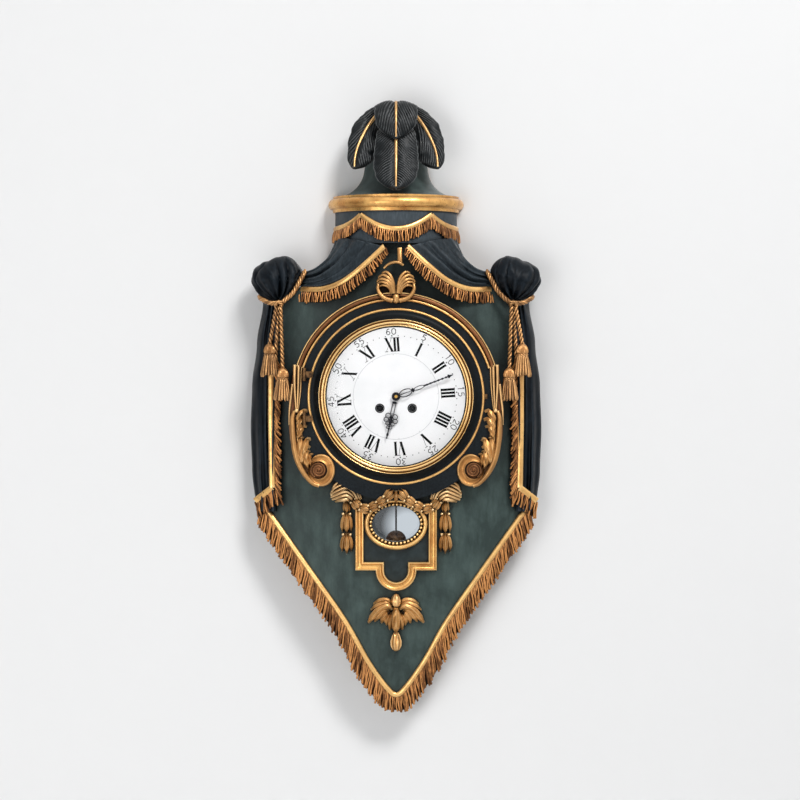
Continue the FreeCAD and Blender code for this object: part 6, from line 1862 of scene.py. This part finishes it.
        # Painted shade: two dark beads between the spray's leaves.
        hollow = Carving()
        for side in Side:
            hollow.bead(on_front(10.6 * side.value, -315.4, 9.6), 2.4, 14)
        hollow.piece("spray_hollows", PAINTED_SHADE)
        both = half.paired()
        centre = [on_front(0, -308, 9), on_front(0, -326, 10), on_front(0, -346, 5)]
        both.leaf(centre, (8, 13, 15, 12, 4), rise=3.4, lobes=2, notch=0.14, rib=1.4, thick=7.0)
        both.turned(TOP_BUD, on_front(0, -297.2, 6.0), UP, 36, 7, 0.12)
        both.turned(LOW_BUD, on_front(0, -345.2, 5.0), UP, 48, 8, 0.2)
        both.piece("leaf_spray_carving", CARVED_GILDING, stands_for=["leaf_spray"], crease=Crease.LEAF)

    def build(self) -> None:
        """Carve apron, window, garland and spray."""
        self.moulding()
        self.window()
        self.garland()
        self.spray()


@dataclass
class Door:
    """Turned door ring with its gilt fillet and reeded bezel, which throw no shadow on the dial."""

    back: float = 90.4
    radius: float = 128.5
    bore: float = 107.0
    fillet: float = 3.6
    bezel_radius: float = 112.8
    bezel_bore: float = 102.4
    seat: float = 98.5
    steps: int = 180

    def build(self) -> None:
        """Turn ring, fillet, bezel and reeds."""
        edge = self.radius - self.fillet
        bore, rim, seat = self.bezel_bore, self.bezel_radius, self.seat
        hollow = []
        for step in range(13):
            share = step / 12
            hollow.append((edge + (rim - edge) * share, 96.0 + 8.0 * share - 2.6 * sin(pi * share)))
        ring = [(self.bore, self.back), (edge, self.back), *hollow, (rim, seat), (self.bore, seat)]
        half = self.fillet / 2
        arc = [(edge + half - half * cos(a), 96.6 + 1.9 * sin(a)) for a in angles(pi, 8)]
        fillet = [(edge - 0.2, self.back), *arc, (self.radius, self.back)]
        bezel = [(bore, seat), (rim, seat), (rim, seat + 3.0), (rim - 1.6, seat + 4.4),
                 (bore + 1.4, seat + 4.4), (bore, seat + 3.0)]
        reeds = [[(radius + thick * cos(a), seat + height + thick * sin(a)) for a in circle(12)]
                 for radius, thick, height in (
                     (bore + 1.1, 1.1, 3.8), (bore + 4.9, 1.7, 4.6), (rim - 0.9, 0.9, 3.7))]
        for name, finish, nodes, crease, sections in (
                ("door_ring", BLACK_PAINT, ["door_frame"], Crease.TURNED, [ring]),
                ("door_fillet", BRIGHT_GILDING, [], Crease.TURNED, [fillet]),
                # The ring under the reeds is the dark copy of the brass, painted shade between the reeds.
                ("bezel_ring", SHADED_BRASS, ["bezel"], Crease.TURNED, [bezel]),
                ("bezel_reeds", GILT_BRASS, [], Crease.REED, reeds)):
            carving = Carving()
            for section in sections:
                carving.hoop(section, steps=self.steps)
            carving.piece(name, finish, "door", nodes, crease).visible_shadow = False


# Strokes of the plain figures 0 to 6 in a box one high: turning points of each line.
FIGURES = {
    "0": (((0.3, 1), (0.06, 0.75), (0.06, 0.25), (0.3, 0), (0.54, 0.25), (0.54, 0.75), (0.3, 1)),),
    "1": (((0.12, 0.8), (0.3, 1.0), (0.3, 0.5), (0.3, 0.0)),),
    "2": (((0.06, 0.76), (0.2, 0.98), (0.48, 0.9), (0.48, 0.62), (0.2, 0.25), (0.05, 0.03)),
          ((0.05, 0.03), (0.56, 0.03))),
    "3": (((0.08, 0.9), (0.32, 1.0), (0.5, 0.78), (0.24, 0.54), (0.52, 0.3), (0.3, 0.0), (0.05, 0.12)),),
    "4": (((0.42, 0.0), (0.42, 1.0)), ((0.42, 1.0), (0.03, 0.3)), ((0.03, 0.3), (0.58, 0.3))),
    "5": (((0.5, 0.97), (0.15, 0.97)), ((0.15, 0.97), (0.1, 0.56)),
          ((0.1, 0.56), (0.36, 0.62), (0.54, 0.34), (0.34, 0.02), (0.06, 0.08))),
    "6": (((0.5, 0.94), (0.22, 0.84), (0.07, 0.4), (0.2, 0.02), (0.5, 0.12), (0.5, 0.42), (0.28, 0.54),
           (0.09, 0.36)),),
}
HOURS = ("XII", "I", "II", "III", "IIII", "V", "VI", "VII", "VIII", "IX", "X", "XI")
# Room that each letter of the hours takes.
LETTER_ROOM = {"I": 4.9, "V": 11.4, "X": 11.8}


@dataclass
class DialMarks:
    """Fired black figures, minute dots and winding hole rims on the convex dial; the rims and a ring at its
    edge are painted shade.
    """

    out: float = 88.0
    rise: float = 4.0
    radius: float = 106.0
    hour_foot: float = 65.9
    hour_head: float = 85.6
    thick_stroke: float = 3.5
    thin_stroke: float = 0.5
    serif: float = 4.6
    dot_circle: float = 88.5
    minute_foot: float = 90.4
    minute_height: float = 9.0
    minute_step: float = 8.2
    # Radii of the black ring painted at the dial's edge as the bezel's shadow.
    edge: Pair = (100.9, 104.5)
    winding: Pair = (23.5, -17.0)
    # Section of the black rims that darken the winding holes as painted shade.
    winding_rim: Section = ((5.3, -1.4), (6.8, -0.2), (6.8, 0.4), (6.2, 0.9), (5.4, 0.7), (5.1, -0.2))
    set_back: float = radians(4.0)

    def place(self, turn: float, u: float, v: float, height: float) -> Vector:
        """Place on the dial.

        Args:
            turn: Clockwise angle of the figure from the top.
            u: Offset to the right in the figure.
            v: Distance from the dial centre along the figure's upright.
            height: Height above the dial.

        Returns:
            The place in the clock's millimetres.
        """
        x = sin(turn) * v + cos(turn) * u
        up = cos(turn) * v - sin(turn) * u
        drop = self.rise * (x * x + up * up) / self.radius ** 2
        return Vector((x, up, self.out - drop + height))

    def stroke(self, carving: Carving, turn: float, start: Pair, end: Pair, width: float) -> None:
        """Straight stroke with level ends.

        Args:
            carving: Where it is added.
            turn: Angle of the figure.
            start: Lower end.
            end: Upper end.
            width: Level width.
        """
        corners = ((start[0] - width / 2, start[1]), (start[0] + width / 2, start[1]),
                   (end[0] + width / 2, end[1]), (end[0] - width / 2, end[1]))
        carving.loft([[self.place(turn, u, v, height) for u, v in corners] for height in (0.02, 0.22)])

    def hour(self, carving: Carving, hour: int) -> None:
        """One Roman hour, standing on the centre.

        Args:
            carving: Where it is added.
            hour: The hour, with zero for twelve.
        """
        low, high = self.hour_foot, self.hour_head
        letters = HOURS[hour]
        turn = tau * hour / 12 - self.set_back
        pen = -sum(LETTER_ROOM[letter] for letter in letters) / 2
        for letter in letters:
            room = LETTER_ROOM[letter]
            left, middle, right = pen + 1.6, pen + room / 2, pen + room - 1.6
            if letter == "I":
                self.stroke(carving, turn, (middle, low), (middle, high), 3.3)
                serifs = (middle,)
                feet = (middle,)
            elif letter == "V":
                self.stroke(carving, turn, (middle + 0.3, low), (left, high), self.thick_stroke)
                self.stroke(carving, turn, (middle, low), (right, high), self.thin_stroke)
                serifs = (left, right)
                feet = ()
            else:
                self.stroke(carving, turn, (right, low), (left, high), self.thick_stroke)
                self.stroke(carving, turn, (left, low), (right, high), self.thin_stroke)
                serifs = (left, right)
                feet = (left, right)
            for spot in serifs:
                self.stroke(carving, turn, (spot, high - 0.3), (spot, high + 0.4), self.serif)
            for spot in feet:
                self.stroke(carving, turn, (spot, low - 0.4), (spot, low + 0.3), self.serif)
            pen += room

    def minutes(self, carving: Carving, minute: int) -> None:
        """One Arabic minute figure outside the dots.

        Args:
            carving: Where it is added.
            minute: The minute that it names.
        """
        turn = tau * minute / 60 - self.set_back
        figures = str(minute)
        high = self.minute_height
        pen = -self.minute_step * len(figures) / 2
        for figure in figures:
            for line in FIGURES[figure]:
                stops = [self.place(turn, pen + 1.2 * u * high, self.minute_foot + v * high, 0.1)
                         for u, v in line]
                path = spline(stops, 6 * len(stops)) if len(stops) > 2 else even(stops, 4)
                carving.tube(path, lambda share: 0.5, 6, 0.4)
            pen += self.minute_step

    def build(self) -> None:
        """Draw all marks."""
        marks = Carving()
        for hour in range(12):
            self.hour(marks, hour)
        for minute in range(1, 61):
            turn = tau * minute / 60 - self.set_back
            if minute % 5 == 0:
                self.minutes(marks, minute)
            size = 1.0 if minute % 5 == 0 else 0.7
            spot = self.place(turn, 0, self.dot_circle, 0.0)
            marks.turned([(size, -0.1), (size, 0.2), (0.1, 0.25)], spot, OUT, 8)
        marks.piece("dial_figures", BLACK_ENAMEL)
        faint = Carving()
        ring = [self.place(turn, 0, self.hour_foot - 3.6, 0.05) for turn in angles(tau, 120)]
        faint.tube(ring, lambda share: 0.28, 6, 0.5)
        for hour in range(12):
            spot = self.place(tau * hour / 12 - self.set_back, 0, self.hour_foot - 5.0, 0.0)
            faint.turned([(0.6, -0.1), (0.6, 0.15), (0.1, 0.2)], spot, OUT, 8)
        faint.piece("faint_ring", GREY_ENAMEL)
        # Painted shadow: a black ring where the bezel shades the dial's edge.
        inner, outer = self.edge
        section = ((inner, 0.0), (outer, 0.0), (outer, 0.3), (inner, 0.3))
        edge = Carving()
        edge.loft([[self.place(turn, 0, r, h) for r, h in section] for turn in circle(144)], True)
        edge.piece("dial_edge_painted_shadow", BLACK_ENAMEL)
        # Painted shade: black rims that make the winding holes read dark.
        rims = Carving()
        for side in Side:
            base = self.place(0.0, self.winding[0] * side.value, self.winding[1], 0.0)
            rims.loft([[base + Vector((r * cos(turn), r * sin(turn), h)) for r, h in self.winding_rim]
                       for turn in circle(36)], True)
        rims.piece("winding_hole_painted_shade", BLACK_ENAMEL)


@dataclass
class Studio:
    """Wall, floor, lamps and camera, in metres and in the row frame."""

    distance: float = 5.0
    clock_front: float = 0.08
    sight: Pair = (0.0058, -0.250)
    frame_width: float = 1.165
    sensor_mm: float = 36.0
    aim: Place = (0.0, -0.05, -0.25)
    wall: str = "#ededed"
    wall_top: float = 2.2
    wall_gap: float = 0.002
    half_width: float = 3.0
    floor_drop: float = 1.55
    floor_reach: Pair = (-6.0, 3.0)
    patch_centre: Pair = (0.017, -0.435)
    patch_half: Pair = (0.030, 0.028)

    def plane(self, name: str, corners: Stops, one_sided: bool) -> None:
        """Pale matt surface that isn't part of the clock.

        Args:
            name: Name of the surface.
            corners: Its corners in the row frame.
            one_sided: Clear when seen from behind, and no shadow.
        """
        mesh = bpy.data.meshes.new(name)
        mesh.from_pydata(corners, [], [tuple(range(len(corners)))])
        made = bpy.data.objects.new(name, mesh)
        bpy.context.scene.collection.objects.link(made)
        paint = bpy.data.materials.new(f"{name}_paint")
        paint.use_nodes = True
        tree = paint.node_tree
        tree.nodes.clear()
        surface = add_node(tree, "BsdfDiffuse", {"Color": linear(self.wall)})
        if one_sided:
            # Painted light, seen through the glass: the wall glows in a soft patch where light would fall
            # through the oval window.
            (x, z), (half, rise) = self.patch_centre, self.patch_half
            patch = add_node(tree, "Mapping", {
                "Vector": add_node(tree, "TexCoord").outputs["Object"],
                "Location": (-x / half, 0.0, -z / rise), "Scale": (1 / half, 0.0, 1 / rise)})
            reach = add_node(tree, "VectorMath", {0: patch}, operation="LENGTH")
            glow = add_node(tree, "MapRange", {
                "Value": reach, "From Min": 0.6, "From Max": 1.32, "To Min": 0.78, "To Max": 0.08})
            painted_window_glow = add_node(tree, "Emission", {"Color": linear("#dfe8f0"), "Strength": glow})
            through = add_node(tree, "LightPath").outputs["Is Transmission Ray"]
            surface = add_node(tree, "MixShader", {0: through, 1: surface, 2: painted_window_glow})
            behind = add_node(tree, "NewGeometry").outputs["Backfacing"]
            clear = add_node(tree, "BsdfTransparent")
            surface = add_node(tree, "MixShader", {0: behind, 1: surface, 2: clear})
            made.visible_shadow = False
        add_node(tree, "OutputMaterial", {"Surface": surface})
        mesh.materials.append(paint)

    def lamp(self, name: str, spot: Place, size: float, power: float) -> None:
        """Soft square lamp aimed at the clock.

        Args:
            name: Name of the lamp.
            spot: Its place.
            size: Side of its panel.
            power: Power in watts.
        """
        light = bpy.data.lights.new(name, "AREA")
        light.shape = "SQUARE"
        light.size = size
        light.energy = power
        made = bpy.data.objects.new(name, light)
        made.location = spot
        made.rotation_euler = (Vector(self.aim) - Vector(spot)).to_track_quat("-Z", "Y").to_euler()
        bpy.context.scene.collection.objects.link(made)

    def world(self) -> None:
        """White surroundings for the eye, and an even soft light."""
        world = bpy.data.worlds.new("soft_studio")
        world.use_nodes = True
        tree = world.node_tree
        tree.nodes.clear()
        path = add_node(tree, "LightPath")
        soft = add_node(tree, "Background", {"Color": linear("#f4f6f8"), "Strength": 0.24})
        aim = add_node(tree, "TexCoord").outputs["Generated"]
        sky = add_node(tree, "VectorMath", {0: aim, 1: (0.35, -0.3, 0.89)}, operation="DOT_PRODUCT")
        height = add_node(tree, "MapRange", {
            "Value": sky, "From Min": -0.35, "From Max": 0.75, "To Min": 0.1, "To Max": 1.35})
        gleam = add_node(tree, "Background", {"Color": linear("#fdfdfd"), "Strength": height})
        white = add_node(tree, "Background", {"Color": linear(self.wall), "Strength": 1.0})
        unseen = add_node(tree, "MixShader", {0: path.outputs["Is Glossy Ray"], 1: soft, 2: gleam})
        both = add_node(tree, "MixShader", {0: path.outputs["Is Camera Ray"], 1: unseen, 2: white})
        add_node(tree, "OutputWorld", {"Surface": both})
        bpy.context.scene.world = world

    def camera(self) -> None:
        """Camera at the photograph's viewing angle, level and square to the wall."""
        lens = bpy.data.cameras.new("camera")
        lens.sensor_width = self.sensor_mm
        lens.lens = self.sensor_mm * self.distance / self.frame_width
        lens.clip_end = 60.0
        made = bpy.data.objects.new("camera", lens)
        made.location = (self.sight[0], -(self.distance + self.clock_front), self.sight[1])
        made.rotation_euler = (radians(90), 0, 0)
        bpy.context.scene.collection.objects.link(made)
        bpy.context.scene.camera = made

    def build(self) -> None:
        """Set the studio."""
        wide, floor, back, top = self.half_width, -self.floor_drop, self.wall_gap, self.wall_top
        near, far = self.floor_reach
        self.plane("wall", (
            (-wide, back, floor), (wide, back, floor), (wide, back, top), (-wide, back, top)), True)
        self.plane("floor", (
            (-wide, near, floor), (wide, near, floor), (wide, far, floor), (-wide, far, floor)), False)
        self.lamp("key_lamp", (1.35, -2.9, 2.6), 1.2, 112.0)
        self.lamp("fill_lamp", (-1.5, -2.9, -0.6), 1.8, 32.0)
        self.lamp("back_lamp", (0.9, 2.6, 1.0), 1.2, 42.0)
        self.world()
        self.camera()
        bpy.context.scene.view_settings.view_transform = "Standard"


# Solids that keep their own shape, by finish.
SOLID_FINISHES: tuple[tuple[Finish, tuple[str, ...]], ...] = (
    (GREEN_PAINT, ("front_panel", "canopy_dome")),
    # The valance takes the lighter copy of the navy, which is painted light.
    (LIT_VALANCE_PAINT, ("valance",)),
    (CORNICE_GILDING, ("cornice",)),
    (BLACK_PAINT, ("dial_surround",)),
    (PINE, ("back_frame",)),
    (IRON, ("hanger_plate", "hanger_screws")),
    (GLASS, ("window_glass",)),
    (DIAL_GLASS, ("door_glass",)),
    (ENAMEL, ("dial",)),
    (BLACK_STEEL, ("hour_hand", "minute_hand")),
    (BRASS, ("dial_plate", "front_plate", "back_plate", "plate_pillars", "going_barrel", "strike_barrel",
             "intermediate_wheel", "centre_wheel", "third_wheel", "escape_wheel", "pin_wheel", "fly",
             "cannon_pinion", "minute_wheel", "hour_wheel", "back_cock")),
    (BRONZED_BRASS, ("pendulum_bob", "door_hinges", "hinge_pins", "door_catch")),
    (STEEL, ("anchor", "hammer")),
    (GREY_STEEL, ("pendulum_rod", "going_arbor", "strike_arbor")),
    (BELL_METAL, ("bell",)),
)


def dress_solids() -> None:
    """Give each kept solid its finish."""
    for finish, nodes in SOLID_FINISHES:
        for node in nodes:
            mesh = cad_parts[node].data
            mesh.materials.clear()
            mesh.materials.append(finish.material())
            mesh.shade_smooth()
            mesh.set_sharp_from_angle(angle=radians(Crease.SOLID.value))
            log.info("%s: %s", node, finish.name)


def main() -> None:
    """Build the clock's looks and the studio round it."""
    logging.basicConfig(level=logging.INFO, format="%(name)s %(message)s")
    Studio().build()
    dress_solids()
    for part in (Plume(), ValanceTrim(), TentSwags(), Knots(), SideDrapes(), FootTrim(), DialSurround(),
                 Apron(), Door(), DialMarks()):
        part.build()
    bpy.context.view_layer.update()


if __name__ == "__main__":
    main()
